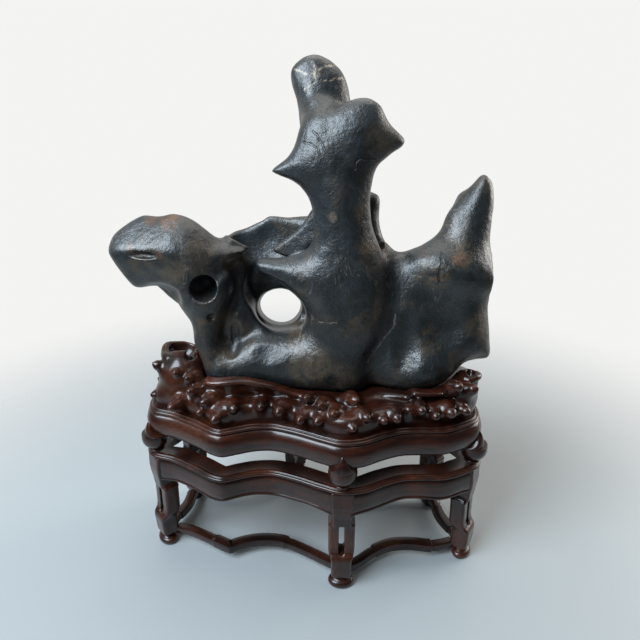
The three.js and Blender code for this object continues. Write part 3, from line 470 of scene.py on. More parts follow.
class Clay:
    """A block of clay on a grid, which grows and is hollowed form by form, and then gives its skin."""

    def __init__(self, low: Sequence[float], high: Sequence[float], cell: float) -> None:
        """Lays out the grid.

        Args:
            low: The block's lowest corner.
            high: Its highest corner.
            cell: The grid's spacing.
        """
        self.low = np.array(low, float)
        self.cell = cell
        self.count = np.ceil((np.array(high) - self.low) / cell).astype(int) + 1
        self.axes = [self.low[k] + cell * np.arange(self.count[k]) for k in range(3)]
        self.value = np.full(self.count, 60.0, np.float32)

    def window(self, box: tuple[Array, Array], reach: float) -> tuple[tuple, list[Array]] | None:
        """The part of the grid within reach of a box, as slices and as places, or None.

        Args:
            box: The lowest corner and the highest.
            reach: How much further the part goes.

        Returns:
            The part's slices and its places.
        """
        first = np.floor((box[0] - reach - self.low) / self.cell).astype(int)
        last = np.ceil((box[1] + reach - self.low) / self.cell).astype(int) + 1
        first, last = np.maximum(first, 0), np.minimum(last, self.count)
        if np.any(last <= first):
            return None
        slices = tuple(slice(a, b) for a, b in zip(first, last))
        shapes = ((-1, 1, 1), (1, -1, 1), (1, 1, -1))
        places = [a[s].reshape(shape) for a, s, shape in zip(self.axes, slices, shapes)]
        return slices, places

    def places(self) -> list[Array]:
        """All the grid's places, ready to broadcast."""
        shapes = ((-1, 1, 1), (1, -1, 1), (1, 1, -1))
        return [a.reshape(shape) for a, shape in zip(self.axes, shapes)]

    def grow(self, steps: Iterable[Step], room: float = 4.0) -> "Clay":
        """Adds forms, each run into the clay over its blend."""
        return self.work(steps, room, smooth_min, 1)

    def hollow(self, steps: Iterable[Step], room: float = 4.0) -> "Clay":
        """Takes forms out, each with its edge rounded over its blend."""
        return self.work(steps, room, smooth_max, -1)

    def work(self, steps: Iterable[Step], room: float, join: Join, sign: int) -> "Clay":
        """Works forms into the clay, one after the other.

        Args:
            steps: The forms and their blends.
            room: How far beyond its blend a form is worked.
            join: smooth_min to add, smooth_max to take out.
            sign: 1 to add, -1 to take out.

        Returns:
            The same clay.
        """
        for form, blend in steps:
            found = self.window(form.box(), blend + room)
            if found:
                slices, places = found
                self.value[slices] = join(self.value[slices], sign * form.at(*places), blend)
        return self

    def sample(self, points: Array) -> tuple[Array, Array]:
        """The clay's value and slope at any places, from the grid around them.

        Args:
            points: The places.

        Returns:
            The value and the slope at each.
        """
        u = (points - self.low) / self.cell
        i = np.clip(np.floor(u).astype(int), 0, self.count - 2)
        f = u - i
        corner = {way: self.value[tuple((i + way).T)] for way in CELL_CORNERS}
        fx, fy, fz = f.T
        x0 = {}
        for b, c in ((0, 0), (0, 1), (1, 0), (1, 1)):
            x0[b, c] = corner[0, b, c] * (1 - fx) + corner[1, b, c] * fx
        y0 = {c: x0[0, c] * (1 - fy) + x0[1, c] * fy for c in (0, 1)}
        value = y0[0] * (1 - fz) + y0[1] * fz
        slope_z = (y0[1] - y0[0]) / self.cell
        zy = {b: x0[b, 0] * (1 - fz) + x0[b, 1] * fz for b in (0, 1)}
        slope_y = (zy[1] - zy[0]) / self.cell
        xs = []
        for a in (0, 1):
            row = {c: corner[a, 0, c] * (1 - fy) + corner[a, 1, c] * fy for c in (0, 1)}
            xs.append(row[0] * (1 - fz) + row[1] * fz)
        slope_x = (xs[1] - xs[0]) / self.cell
        return value, np.stack([slope_x, slope_y, slope_z], 1)

    def skin(self, rounds: int = 3) -> tuple[Array, Array]:
        """The clay's surface as points and four-sided faces, facing out.

        Args:
            rounds: How often the points are evened out and set back on the surface.

        Returns:
            The points, and the faces as rows of four point numbers.
        """
        least = 1e-4
        value = np.where(np.abs(self.value) < least, least, self.value)
        points, number = self.crossing_points(value)
        quads = self.crossing_faces(value < 0, number)
        points, quads = only_used(points, largest_part(len(points), quads))
        for _ in range(rounds):
            points = points * 0.45 + 0.55 * neighbour_mean(points, quads)
            points = self.settle(points)
        return self.settle(points), quads

    def crossing_points(self, value: Array) -> tuple[Array, Array]:
        """One point for each cell that the surface crosses.

        Args:
            value: The value at each grid place.

        Returns:
            The points, and the number of each cell's point or -1.
        """
        inside = value < 0
        size = value.shape
        total = np.zeros([n - 1 for n in size], np.int8)
        for a, b, c in CELL_CORNERS:
            total += inside[a : size[0] - 1 + a, b : size[1] - 1 + b, c : size[2] - 1 + c]
        active = (total > 0) & (total < len(CELL_CORNERS))
        cells = np.argwhere(active)
        number = np.full(active.shape, -1, np.int64)
        number[active] = np.arange(len(cells))
        middle = np.zeros((len(cells), 3))
        crossings = np.zeros(len(cells))
        for p in CELL_CORNERS:
            for axis in range(3):
                if p[axis]:
                    continue
                q = tuple(1 if k == axis else p[k] for k in range(3))
                va = value[tuple((cells + p).T)]
                vb = value[tuple((cells + q).T)]
                hit = (va < 0) != (vb < 0)
                t = np.where(hit, va / np.where(hit, va - vb, 1), 0)
                place = np.tile(np.array(p, float), (len(cells), 1))
                place[:, axis] += t
                middle[hit] += place[hit]
                crossings += hit
        return self.low + self.cell * (cells + middle / crossings[:, None]), number

    def crossing_faces(self, inside: Array, number: Array) -> Array:
        """One face for each grid edge that the surface crosses.

        Args:
            inside: Whether each grid place is in the clay.
            number: The number of each cell's point.

        Returns:
            The faces, as rows of four point numbers.
        """
        size = inside.shape
        faces = []
        for axis in range(3):
            step = np.zeros(3, int)
            step[axis] = 1
            low = inside[tuple(slice(0, n - s) for n, s in zip(size, step))]
            high = inside[tuple(slice(s, n) for n, s in zip(size, step))]
            b, c = [k for k in range(3) if k != axis]
            edges = np.argwhere(low != high)
            edges = edges[(edges[:, b] > 0) & (edges[:, c] > 0)]
            edges = edges[(edges[:, b] < size[b] - 1) & (edges[:, c] < size[c] - 1)]
            ring = []
            for db, dc in ((0, 0), (-1, 0), (-1, -1), (0, -1)):
                cell = edges.copy()
                cell[:, b] += db
                cell[:, c] += dc
                ring.append(number[tuple(cell.T)])
            quad = np.stack(ring, 1)
            solid_low = low[tuple(edges.T)]
            flip = solid_low if axis == 1 else ~solid_low
            quad[flip] = quad[flip][:, ::-1]
            faces.append(quad)
        return np.concatenate(faces)

    def settle(self, points: Array) -> Array:
        """Sets points back on the surface, by less than a cell.

        Args:
            points: The points.

        Returns:
            The points as set back.
        """
        value, slope = self.sample(points)
        square = np.maximum((slope**2).sum(1), 0.2)
        move = -(value / square)[:, None] * slope
        length = np.linalg.norm(move, axis=1, keepdims=True)
        return points + move * np.minimum(1, 0.6 * self.cell / np.maximum(length, 1e-9))


def neighbour_mean(points: Array, quads: Array) -> Array:
    """For each point, the middle of the points that its faces' edges lead to.

    Args:
        points: The points.
        quads: The faces.

    Returns:
        One middle for each point.
    """
    total = np.zeros_like(points)
    count = np.zeros(len(points))
    for k in range(4):
        a, b = quads[:, k], quads[:, (k + 1) % 4]
        for p, q in ((a, b), (b, a)):
            count += np.bincount(p, minlength=len(points))
            for axis in range(3):
                total[:, axis] += np.bincount(p, points[q, axis], len(points))
    return total / np.maximum(count, 1)[:, None]


def largest_part(count: int, quads: Array) -> Array:
    """Leaves out the crumbs that a hollow can cut off.

    Args:
        count: How many points there are.
        quads: The faces.

    Returns:
        The faces of the largest body.
    """
    label = np.arange(count)
    while True:
        least = label[quads].min(1)
        new = label.copy()
        for k in range(4):
            np.minimum.at(new, quads[:, k], least)
        new = new[new]
        if np.array_equal(new, label):
            break
        label = new
    names, sizes = np.unique(label[quads[:, 0]], return_counts=True)
    return quads[label[quads[:, 0]] == names[sizes.argmax()]]


def only_used(points: Array, quads: Array) -> tuple[Array, Array]:
    """The points that the faces use, and the faces with those points' new numbers.

    Args:
        points: The points.
        quads: The faces.

    Returns:
        The points that are left, and the faces.
    """
    used = np.unique(quads)
    number = np.full(len(points), -1)
    number[used] = np.arange(len(used))
    return points[used], number[quads]


def normals_of(points: Array, quads: Array) -> Array:
    """The outward direction at each point.

    Args:
        points: The points.
        quads: The faces.

    Returns:
        One direction for each point.
    """
    a, b, c, d = (points[quads[:, k]] for k in range(4))
    face = np.cross(c - a, d - b)
    total = np.zeros_like(points)
    for k in range(4):
        for axis in range(3):
            total[:, axis] += np.bincount(quads[:, k], face[:, axis], len(points))
    return total / np.maximum(np.linalg.norm(total, axis=1, keepdims=True), 1e-12)


def lattice_noise(points: Array, cell: float, seed: float) -> Array:
    """Smooth noise from 0 to 1, with lumps about as wide as the cell.

    Args:
        points: The places.
        cell: The lumps' width.
        seed: A number that picks the pattern.

    Returns:
        One value for each place.
    """
    q = points / cell + seed
    i = np.floor(q)
    f = smooth_step(q - i)
    total = np.zeros(len(points))
    for a in (0, 1):
        for b in (0, 1):
            for c in (0, 1):
                mixed = (i[:, 0] + a) * 127.1 + (i[:, 1] + b) * 311.7 + (i[:, 2] + c) * 74.7
                value = np.modf(np.abs(np.sin(mixed) * 43758.5453))[0]
                wa = f[:, 0] if a else 1 - f[:, 0]
                wb = f[:, 1] if b else 1 - f[:, 1]
                wc = f[:, 2] if c else 1 - f[:, 2]
                total += value * wa * wb * wc
    return total


# Making pieces


def make_piece(
    name: str,
    points: Array,
    faces: Sequence[Sequence[int]] | Array,
    material: Material,
    slot: Slot,
    stands_for: str,
    sharp: float | None = None,
) -> Piece:
    """Makes a piece from points in the plan's millimetres.

    Args:
        name: The piece's name.
        points: Its points.
        faces: Its faces, as point numbers.
        material: Its finish.
        slot: The record's slot of that finish; not used.
        stands_for: The CAD node that it replaces.
        sharp: Edges that turn by more than this angle, in degrees, are left crisp.

    Returns:
        The piece, riding on the body.
    """
    mesh = bpy.data.meshes.new(name)
    placed = (np.asarray(points, float) + CENTRE_SHIFT) / PER_METRE
    rows = faces.tolist() if isinstance(faces, Array) else faces
    mesh.from_pydata(placed.tolist(), [], rows)
    mesh.validate()
    mesh.polygons.foreach_set("use_smooth", np.ones(len(mesh.polygons), bool))
    if sharp is not None:
        mesh.set_sharp_from_angle(angle=math.radians(sharp))
    mesh.materials.append(material)
    mesh.update()
    piece = bpy.data.objects.new(name, mesh)
    bpy.context.scene.collection.objects.link(piece)
    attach(piece, BODY)
    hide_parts(stands_for)
    log.info("%s: %d faces", name, len(mesh.polygons))
    return piece


def loft(rings: Sequence[Array], closed: bool = False, centre: bool = False) -> tuple[Array, list]:
    """Joins rings of equal length with four-sided faces.

    Args:
        rings: The rings, one after the other.
        closed: Whether the last ring joins the first.
        centre: Whether each end is closed by a fan to its middle, and not by one face.

    Returns:
        The points and the faces, facing out where the rings turn left about the way they go.
    """
    n = len(rings[0])
    points = [np.asarray(r, float) for r in rings]
    faces: list[list[int]] = []
    rows = len(rings)
    for r in range(rows if closed else rows - 1):
        s = (r + 1) % rows
        for i in range(n):
            j = (i + 1) % n
            faces.append([r * n + i, r * n + j, s * n + j, s * n + i])
    stacked = np.concatenate(points)
    if closed:
        return stacked, faces
    last = (rows - 1) * n
    if not centre:
        faces.append(list(range(n))[::-1])
        faces.append([last + i for i in range(n)])
        return stacked, faces
    low, high = len(stacked), len(stacked) + 1
    stacked = np.concatenate([stacked, [points[0].mean(0)], [points[-1].mean(0)]])
    for i in range(n):
        j = (i + 1) % n
        faces.append([j, i, low])
        faces.append([last + i, last + j, high])
    return stacked, faces


def turned(profile: Sequence[Pair], segments: int, stretch: float = 1.0) -> tuple[Array, list]:
    """A turned piece about the Z axis.

    Args:
        profile: Radius and height, from the foot up; it starts and ends near the axis.
        segments: How many sides it has.
        stretch: Scale along X.

    Returns:
        The points and the faces.
    """
    angle = np.arange(segments) * 2 * math.pi / segments
    ring = np.stack([np.cos(angle) * stretch, np.sin(angle)], 1)
    rings = [np.column_stack([ring * max(r, 0.4), np.full(segments, z)]) for r, z in profile]
    return loft(rings)


def round_profile(profile: Sequence[Pair], steps: int) -> list[Pair]:
    """A smooth line through the corners of a profile.

    Args:
        profile: The corners.
        steps: How many places from each corner to the next.

    Returns:
        The places along the line.
    """
    points = np.array(profile, float)
    return [tuple(p) for p in curve_open(points, steps)]


def curve_open(points: Array, steps: int) -> Array:
    """The smooth line through an open row of points.

    Args:
        points: The points, in order.
        steps: How many places from each point to the next.

    Returns:
        The places along the line.
    """
    ends = np.concatenate([[2 * points[0] - points[1]], points, [2 * points[-1] - points[-2]]])
    u = 1 + np.arange((len(points) - 1) * steps + 1) / steps
    u[-1] -= 1e-9
    return curve_at(ends, u)


# The stand's plan


class Plan:
    """The serpentine outline of the stand, with a corner at each of its six feet.

    The points go from the left corner along the front to the right corner, and back behind.
    """

    POINTS = (
        (-264, -57), (-222, -72), (-178, -95), (-150, -112), (-132, -117), (-108, -108), (-82, -99),
        (-52, -97), (-12, -109), (22, -123), (56, -134), (88, -128), (118, -111), (148, -98), (180, -94),
        (214, -91), (245, -77), (271, -57), (279, -18), (262, 30), (236, 70), (200, 85), (150, 91),
        (100, 87), (50, 90), (0, 103), (-41, 111), (-84, 103), (-130, 88), (-180, 86), (-216, 84),
        (-247, 66), (-268, 30), (-277, -14),
    )
    UPPER_LENGTH = 0.976  # the upper tier's length as a share of the lower stand's

    def __init__(self) -> None:
        """Works out the way out at each point."""
        self.points = np.array(self.POINTS, float)
        u = np.arange(len(self.points), dtype=float)
        along = curve_at(self.points, u + 0.25) - curve_at(self.points, u - 0.25)
        along /= np.linalg.norm(along, axis=1, keepdims=True)
        self.out = np.stack([along[:, 1], -along[:, 0]], 1)

    @property
    def count(self) -> int:
        """How many points the plan has."""
        return len(self.points)

    def beside(self, u: Array | float, offset: Array | float) -> Array:
        """Places outward of the plan by offset, at u along it.

        Args:
            u: Places along the plan, where 1 is one point on.
            offset: How far outward.

        Returns:
            One row for each place.
        """
        u = np.atleast_1d(np.asarray(u, float))
        offset = np.broadcast_to(np.asarray(offset, float), u.shape)
        base = curve_at(self.points, u)
        out = curve_at(self.out * 40, u) / 40
        return base + out * offset[:, None]

    def ring(self, offset: float, z: float, steps: int, length: float = 1.0) -> Array:
        """A closed ring along the plan, at an offset and a height.

        Args:
            offset: How far outward.
            z: The height.
            steps: How many places from each plan point to the next.
            length: Scale along X.

        Returns:
            The ring.
        """
        u = np.arange(self.count * steps) / steps
        flat = self.beside(u, offset)
        return np.column_stack([flat[:, 0] * length, flat[:, 1], np.full(len(flat), z)])

    def to_corner(self, corner: Corner, inset: float, points: Array, length: float = 1.0) -> Array:
        """Turns points that face +X to face out of a corner, and sets them in from it by inset.

        Args:
            corner: The corner.
            inset: How far in from it.
            points: The points.
            length: Scale of the plan along X.

        Returns:
            The points as placed.
        """
        a = corner.facing
        x, y = self.points[corner.at]
        turn = np.array([[math.cos(a), -math.sin(a)], [math.sin(a), math.cos(a)]])
        moved = np.array(points, float)
        moved[:, :2] = moved[:, :2] @ turn.T
        moved[:, 0] += x * length - inset * math.cos(a)
        moved[:, 1] += y - inset * math.sin(a)
        return moved

    def side_range(self, corner: Corner) -> Pair:
        """Where the side after a corner starts and ends along the plan."""
        end = corner.next.at
        return corner.at, end if end > corner.at else end + self.count

    def leg_side(self, corner: Corner, way: int, half: float, inset: float) -> float:
        """How far along the plan from a corner a leg's side is reached.

        Args:
            corner: The leg's corner.
            way: 1 on along the plan, or -1 back.
            half: Half the leg's width.
            inset: How far the leg stands in from the corner.

        Returns:
            The distance along the plan, always positive.
        """
        reach, step = 4, 0.02
        steps = np.arange(0, reach, step)
        flat = self.beside(corner.at + way * steps, 0)
        a = corner.facing
        dx = flat[:, 0] - self.points[corner.at][0] + inset * math.cos(a)
        dy = flat[:, 1] - self.points[corner.at][1] + inset * math.sin(a)
        lateral = np.abs(-math.sin(a) * dx + math.cos(a) * dy)
        return float(steps[np.argmax(lateral > half)])


# Finishes


class Nodes:
    """A short way to write a material's nodes."""

    LINE_CORE = 0.2  # the part of a drawn line's width that has its full strength

    def __init__(self, name: str) -> None:
        """Starts a material with its shader and output.

        Args:
            name: The material's name.
        """
        self.material = bpy.data.materials.new(name)
        self.material.use_nodes = True
        self.tree = self.material.node_tree
        self.shader = self.tree.nodes["Principled BSDF"]
        self.place = self.tree.nodes.new("ShaderNodeTexCoord").outputs["Object"]

    def link(self, source: Socket, target: Socket) -> None:
        """Joins two sockets."""
        self.tree.links.new(source, target)

    def feed(self, node: bpy.types.Node, values: dict[str | int, object]) -> bpy.types.Node:
        """Sets or links a node's inputs.

        Args:
            node: The node.
            values: A socket or a plain value for each input.

        Returns:
            The same node.
        """
        for key, value in values.items():
            target = node.inputs[key]
            if isinstance(value, Socket):
                self.link(value, target)
            else:
                target.default_value = value
        return node

    def math(self, operation: str, *values: object, clamp: bool = False) -> Socket:
        """One step of arithmetic.

        Args:
            operation: What is done.
            values: Sockets or numbers.
            clamp: Whether the result is cut to 0 to 1.

        Returns:
            The result.
        """
        node = self.tree.nodes.new("ShaderNodeMath")
        node.operation = operation
        node.use_clamp = clamp
        self.feed(node, dict(enumerate(values)))
        return node.outputs[0]

    def vector(self, operation: str, *values: object) -> bpy.types.Node:
        """One step of vector arithmetic.

        Args:
            operation: What is done.
            values: Sockets or triples.

        Returns:
            The node.
        """
        node = self.tree.nodes.new("ShaderNodeVectorMath")
        node.operation = operation
        self.feed(node, dict(enumerate(values)))
        return node

    def noise(self, scale: float, detail: float = 3.0, rough: float = 0.5, warp: float = 0.0,
              place: Socket | None = None) -> Socket:
        """Smooth noise over the object.

        Args:
            scale: Lumps for each metre.
            detail: Layers of finer lumps.
            rough: How strong the finer layers are.
            warp: How much the noise bends itself.
            place: The place, or None for the object's.

        Returns:
            The noise.
        """
        node = self.tree.nodes.new("ShaderNodeTexNoise")
        self.feed(node, {
            "Vector": place or self.place, "Scale": scale, "Detail": detail,
            "Roughness": rough, "Distortion": warp,
        })
        return node.outputs["Fac"]

    def cells(self, scale: float) -> Socket:
        """The distance in a soft pattern of irregular cells.

        Args:
            scale: Cells for each metre.

        Returns:
            The distance.
        """
        node = self.tree.nodes.new("ShaderNodeTexVoronoi")
        node.feature = "SMOOTH_F1"
        self.feed(node, {"Vector": self.place, "Scale": scale})
        return node.outputs["Distance"]

    def stretched(self, scale: Triple, turn: Triple = (0.0, 0.0, 0.0)) -> Socket:
        """The object's place, turned in degrees and then scaled differently each way.

        Args:
            scale: The scale each way.
            turn: The turn about each axis.

        Returns:
            The place.
        """
        node = self.tree.nodes.new("ShaderNodeMapping")
        self.feed(node, {
            "Vector": self.place, "Rotation": tuple(math.radians(v) for v in turn), "Scale": scale,
        })
        return node.outputs["Vector"]

    def ramp(self, value: Socket, low: float, high: float) -> Socket:
        """0 below low, 1 above high, and smooth in between; high may be below low.

        Args:
            value: What is read.
            low: The value that gives 0.
            high: The value that gives 1.

        Returns:
            The share.
        """
        node = self.tree.nodes.new("ShaderNodeMapRange")
        node.interpolation_type = "SMOOTHSTEP"
        if high < low:
            self.feed(node, {"Value": value, 1: high, 2: low, 3: 1.0, 4: 0.0})
        else:
            self.feed(node, {"Value": value, 1: low, 2: high, 3: 0.0, 4: 1.0})
        return node.outputs["Result"]

    def span(self, value: Socket, low: float, high: float) -> Socket:
        """A share from 0 to 1 as a value from low to high.

        Args:
            value: The share.
            low: What 0 gives.
            high: What 1 gives.

        Returns:
            The value.
        """
        node = self.tree.nodes.new("ShaderNodeMapRange")
        self.feed(node, {"Value": value, 1: 0.0, 2: 1.0, 3: low, 4: high})
        return node.outputs["Result"]

    def mix(self, share: object, a: object, b: object) -> Socket:
        """Two colours by a share.

        Args:
            share: How much of the second there is.
            a: The first colour.
            b: The second colour.

        Returns:
            The colour.
        """
        node = self.tree.nodes.new("ShaderNodeMix")
        node.data_type = "RGBA"
        self.feed(node, {0: share, 6: opaque(a), 7: opaque(b)})
        return node.outputs[2]

    def flat(self, place: Socket) -> Socket:
        """A place with no Y, so that what is drawn there goes straight in from the front."""
        return self.vector("MULTIPLY", place, (1.0, 0.0, 1.0)).outputs["Vector"]

    def near(self, centre: Triple, radius: float, soft: float, place: Socket) -> Socket:
        """1 near a spot on the front, in the plan's millimetres, and 0 beyond its radius.

        Args:
            centre: The middle of the spot.
            radius: Its radius.
            soft: Half the width of its edge.
            place: The place that it is drawn at, with no Y.

        Returns:
            The share.
        """
        middle = ((centre[0] + CENTRE_SHIFT[0]) / PER_METRE, 0.0, centre[2] / PER_METRE)
        distance = self.vector("DISTANCE", place, middle).outputs["Value"]
        return self.ramp(distance, (radius + soft) / PER_METRE, (radius - soft) / PER_METRE)

    def axis(self, name: str) -> Socket:
        """One coordinate of the object's place.

        Args:
            name: X, Y or Z.

        Returns:
            The coordinate.
        """
        split = self.tree.nodes.new("ShaderNodeSeparateXYZ")
        self.link(self.place, split.inputs[0])
        return split.outputs[name]

    def above(self, low: float, high: float) -> Socket:
        """0 under one height and 1 over another, in metres."""
        return self.ramp(self.axis("Z"), low, high)

    def ahead_of(self, y: float, soft: float = 6.0) -> Socket:
        """1 in front of a plane across the object, in the plan's millimetres, and 0 behind it."""
        edge = y + CENTRE_SHIFT[1]
        return self.ramp(self.axis("Y"), (edge + soft) / PER_METRE, (edge - soft) / PER_METRE)

    def warped(self, scale: float, reach: float) -> Socket:
        """The object's place, pushed about by noise, with the reach in metres.

        Args:
            scale: Lumps of the noise for each metre.
            reach: How far it pushes.

        Returns:
            The place.
        """
        node = self.tree.nodes.new("ShaderNodeTexNoise")
        self.feed(node, {"Vector": self.place, "Scale": scale, "Detail": 2.0})
        shift = self.vector("SUBTRACT", node.outputs["Color"], (0.5, 0.5, 0.5)).outputs["Vector"]
        shift = self.vector("MULTIPLY", shift, (reach,) * 3).outputs["Vector"]
        return self.vector("ADD", self.place, shift).outputs["Vector"]

    def lines(self, rows: Sequence[Sequence[Triple]], width: float, place: Socket) -> Socket:
        """1 along some lines drawn on the front, and 0 beyond their width.

        Args:
            rows: The corners of each line, in the plan's millimetres.
            width: How far from the line its effect reaches, in mm.
            place: The place that the lines are drawn at, with no Y.

        Returns:
            The share.
        """
        nearest = None
        for row in rows:
            for a, b in zip(row, row[1:]):
                start = ((a[0] + CENTRE_SHIFT[0]) / PER_METRE, 0.0, a[2] / PER_METRE)
                along = ((b[0] - a[0]) / PER_METRE, 0.0, (b[2] - a[2]) / PER_METRE)
                length = sum(v * v for v in along)
                offset = self.vector("SUBTRACT", place, start).outputs["Vector"]
                ahead = self.vector("DOT_PRODUCT", offset, along).outputs["Value"]
                share = self.math("DIVIDE", ahead, length, clamp=True)
                scaled = self.tree.nodes.new("ShaderNodeVectorMath")
                scaled.operation = "SCALE"
                self.feed(scaled, {0: along, "Scale": share})
                off = self.vector("DISTANCE", offset, scaled.outputs["Vector"]).outputs["Value"]
                nearest = off if nearest is None else self.math("MINIMUM", nearest, off)
        return self.ramp(nearest, width / PER_METRE, width * self.LINE_CORE / PER_METRE)

    def bump(self, height: Socket, strength: float, distance: float,
             under: Socket | None = None) -> Socket:
        """Relief from a height, over any relief under it.

        Args:
            height: The height.
            strength: How strong the relief is.
            distance: How high it is, in metres.
            under: The relief under it.

        Returns:
            The direction of the relief.
        """
        node = self.tree.nodes.new("ShaderNodeBump")
        self.feed(node, {"Height": height, "Strength": strength, "Distance": distance})
        if under is not None:
            self.link(under, node.inputs["Normal"])
        return node.outputs["Normal"]

    def wax(self, specular: float, coat: float, coat_roughness: float) -> None:
        """Sets how strongly the surface and the coat on it shine.

        Args:
            specular: The specular level.
            coat: The coat's weight.
            coat_roughness: The coat's roughness.
        """
        self.shader.inputs["Specular IOR Level"].default_value = specular
        self.shader.inputs["Coat Weight"].default_value = coat
        self.shader.inputs["Coat Roughness"].default_value = coat_roughness


def opaque(colour: object) -> object:
    """A colour of three numbers with full alpha, or anything else as it is.

    Args:
        colour: A colour, a number or a socket.

    Returns:
        What the input takes.
    """
    if isinstance(colour, tuple) and len(colour) == 3:
        return (*colour, 1.0)
    return colour


@dataclass(frozen=True)
class WaxedStone:
    """Near-black limestone, waxed by handling: blue-grey, with brown patches and fine pale veins."""

    dark: Triple = (0.0055, 0.0075, 0.0085)
    cool: Triple = (0.018, 0.024, 0.028)
    brown: Triple = (0.070, 0.047, 0.025)
    rust: Triple = (0.12, 0.055, 0.030)
    tan: Triple = (0.22, 0.17, 0.12)
    vein: Triple = (0.40, 0.32, 0.24)
    crack: Triple = (0.002, 0.002, 0.002)
    patch_share: float = 0.55
    fleck_share: float = 0.35
    scratch_share: float = 0.30
    vein_share: float = 0.24
    star_share: float = 0.8
    crack_share: float = 0.85
    low_share: float = 0.35  # how much of the stone's own tone is left at the foot, under painted shade that darkens it low down
    pale_from: Pair = (0.40, 0.64)  # the heights over which that painted shade gives way to the full tone, in metres
    front_y: float = 30.0  # what is drawn stays in front of this depth, in the plan's millimetres
    rough: Pair = (0.28, 0.54)
    specular: float = 0.55
    coat: float = 0.36
    coat_roughness: float = 0.30

    # Places of single features: a middle, a radius in mm, and how strong the feature is
    BROWN_SPOTS = (
        ((96, -36, 540), 26, 0.8), ((84, -36, 592), 18, 0.6), ((4, -58, 362), 34, 0.8),
        ((-20, -46, 392), 16, 0.7), ((48, -64, 345), 26, 0.5), ((-137, -40, 424), 18, 0.8),
        ((-160, -50, 420), 16, 0.7), ((-117, -16, 512), 15, 0.8), ((-205, -62, 507), 20, 0.6),
        ((-243, -62, 519), 20, 0.6), ((186, -32, 500), 20, 0.8), ((222, -28, 528), 16, 0.8),
        ((183, -38, 400), 20, 0.5), ((264, -22, 418), 24, 0.5), ((100, -40, 690), 22, 0.5),
    )
    RUST_SPOTS = (
        ((-205, -36, 579), 14, 0.8), ((-236, -33, 580), 12, 0.5), ((-259, -61, 541), 7, 0.6),
        ((-217, -63, 532), 7, 0.7), ((188, -32, 497), 8, 0.6), ((220, -28, 524), 8, 0.6),
    )
    PALE_SPOTS = (
        ((34, -49, 587), 6.5, 0.6), ((8, 12, 772), 7, 0.55), ((213, 0, 560), 24, 0.22),
        ((-120, -14, 517), 4, 0.8), ((77, -39, 615), 1.6, 1.0),
    )
    CRACKS = (
        ((-5, -38, 685), (6, -43, 682), (14, -47, 677), (17, -49, 666)),
        ((8, -38, 699), (16, -45, 688), (23, -49, 677), (26, -51, 672)),
        ((194, -21, 532), (192, -32, 519), (189, -35, 501), (192, -34, 491)),
        ((64, -49, 651), (65, -50, 661), (72, -49, 664), (90, -41, 663)),
        ((-125, -13, 408), (-126, -13, 395), (-124, -13, 380)),
    )
    STAR = (
        ((6, 14, 782), (6, 12, 773), (7, 10, 764), (1, 9, 756), (-8, 11, 752)),
        ((6, 12, 773), (-2, 10, 770), (-22, 19, 778)),
        ((20, 10, 762), (35, 13, 766), (46, 25, 767)),
        ((12, 13, 777), (21, 15, 781), (34, 24, 783)),
    )
    VEINS = (
        ((184, 0, 566), (209, 6, 567), (215, 8, 580)),
        ((196, 10, 588), (217, 12, 589), (233, 4, 586)),
        ((147, -21, 497), (165, -27, 497)),
        ((15, -54, 432), (42, -61, 434)),
        ((-13, -28, 412), (-19, -48, 389), (-28, -56, 367)),
        ((130, -33, 439), (129, -36, 419), (107, -40, 391), (90, -43, 362)),
    )

    def spots(self, n: Nodes, places: Sequence[tuple], on: Socket, mask: Socket) -> Socket:
        """The share of some soft spots on the front, broken up by a mask.

        Args:
            n: The material's nodes.
            places: Middle and radius of each spot.
            on: The place that they are drawn at.
            mask: What breaks them up.

        Returns:
            The share.
        """
        total = None
        for centre, radius, strength in places:
            share = n.math("MULTIPLY", n.near(centre, radius, radius * 0.45, on), strength)
            total = share if total is None else n.math("MAXIMUM", total, share)
        return n.math("MULTIPLY", total, mask)

    def clouds(self, n: Nodes, broad: Socket) -> Socket:
        """The stone's colour: blue-grey clouds with brown patches, and painted shade that makes it
        blacker low down.

        Args:
            n: The material's nodes.
            broad: Broad noise.

        Returns:
            The colour.
        """
        cloudy = n.noise(30.0, 6.0, 0.65, 0.4)
        base = n.mix(n.ramp(cloudy, 0.36, 0.64), self.dark, self.cool)
        # Painted shade: the lower part of the stone is darkened towards the dark tone, by height.
        base = n.mix(n.span(n.above(*self.pale_from), self.low_share, 1.0), self.dark, base)
        patches = n.math("MULTIPLY", n.ramp(broad, 0.50, 0.64), n.ramp(cloudy, 0.34, 0.60))
        return n.mix(n.math("MULTIPLY", patches, self.patch_share), base, self.brown)

    def stains(self, n: Nodes, base: Socket, front: Socket) -> Socket:
        """Adds the spots that stand in one place on the front.

        Args:
            n: The material's nodes.
            base: The colour so far.
            front: 1 on the front, 0 behind.

        Returns:
            The colour.
        """
        drawn = n.flat(n.warped(60.0, 0.012))
        torn = n.math("MULTIPLY", n.ramp(n.noise(60.0, 5.0, 0.7, 0.6), 0.34, 0.60), front)
        drawings = (self.BROWN_SPOTS, self.RUST_SPOTS, self.PALE_SPOTS)
        for places, colour in zip(drawings, (self.brown, self.rust, self.tan)):
            base = n.mix(self.spots(n, places, drawn, torn), base, colour)
        return base

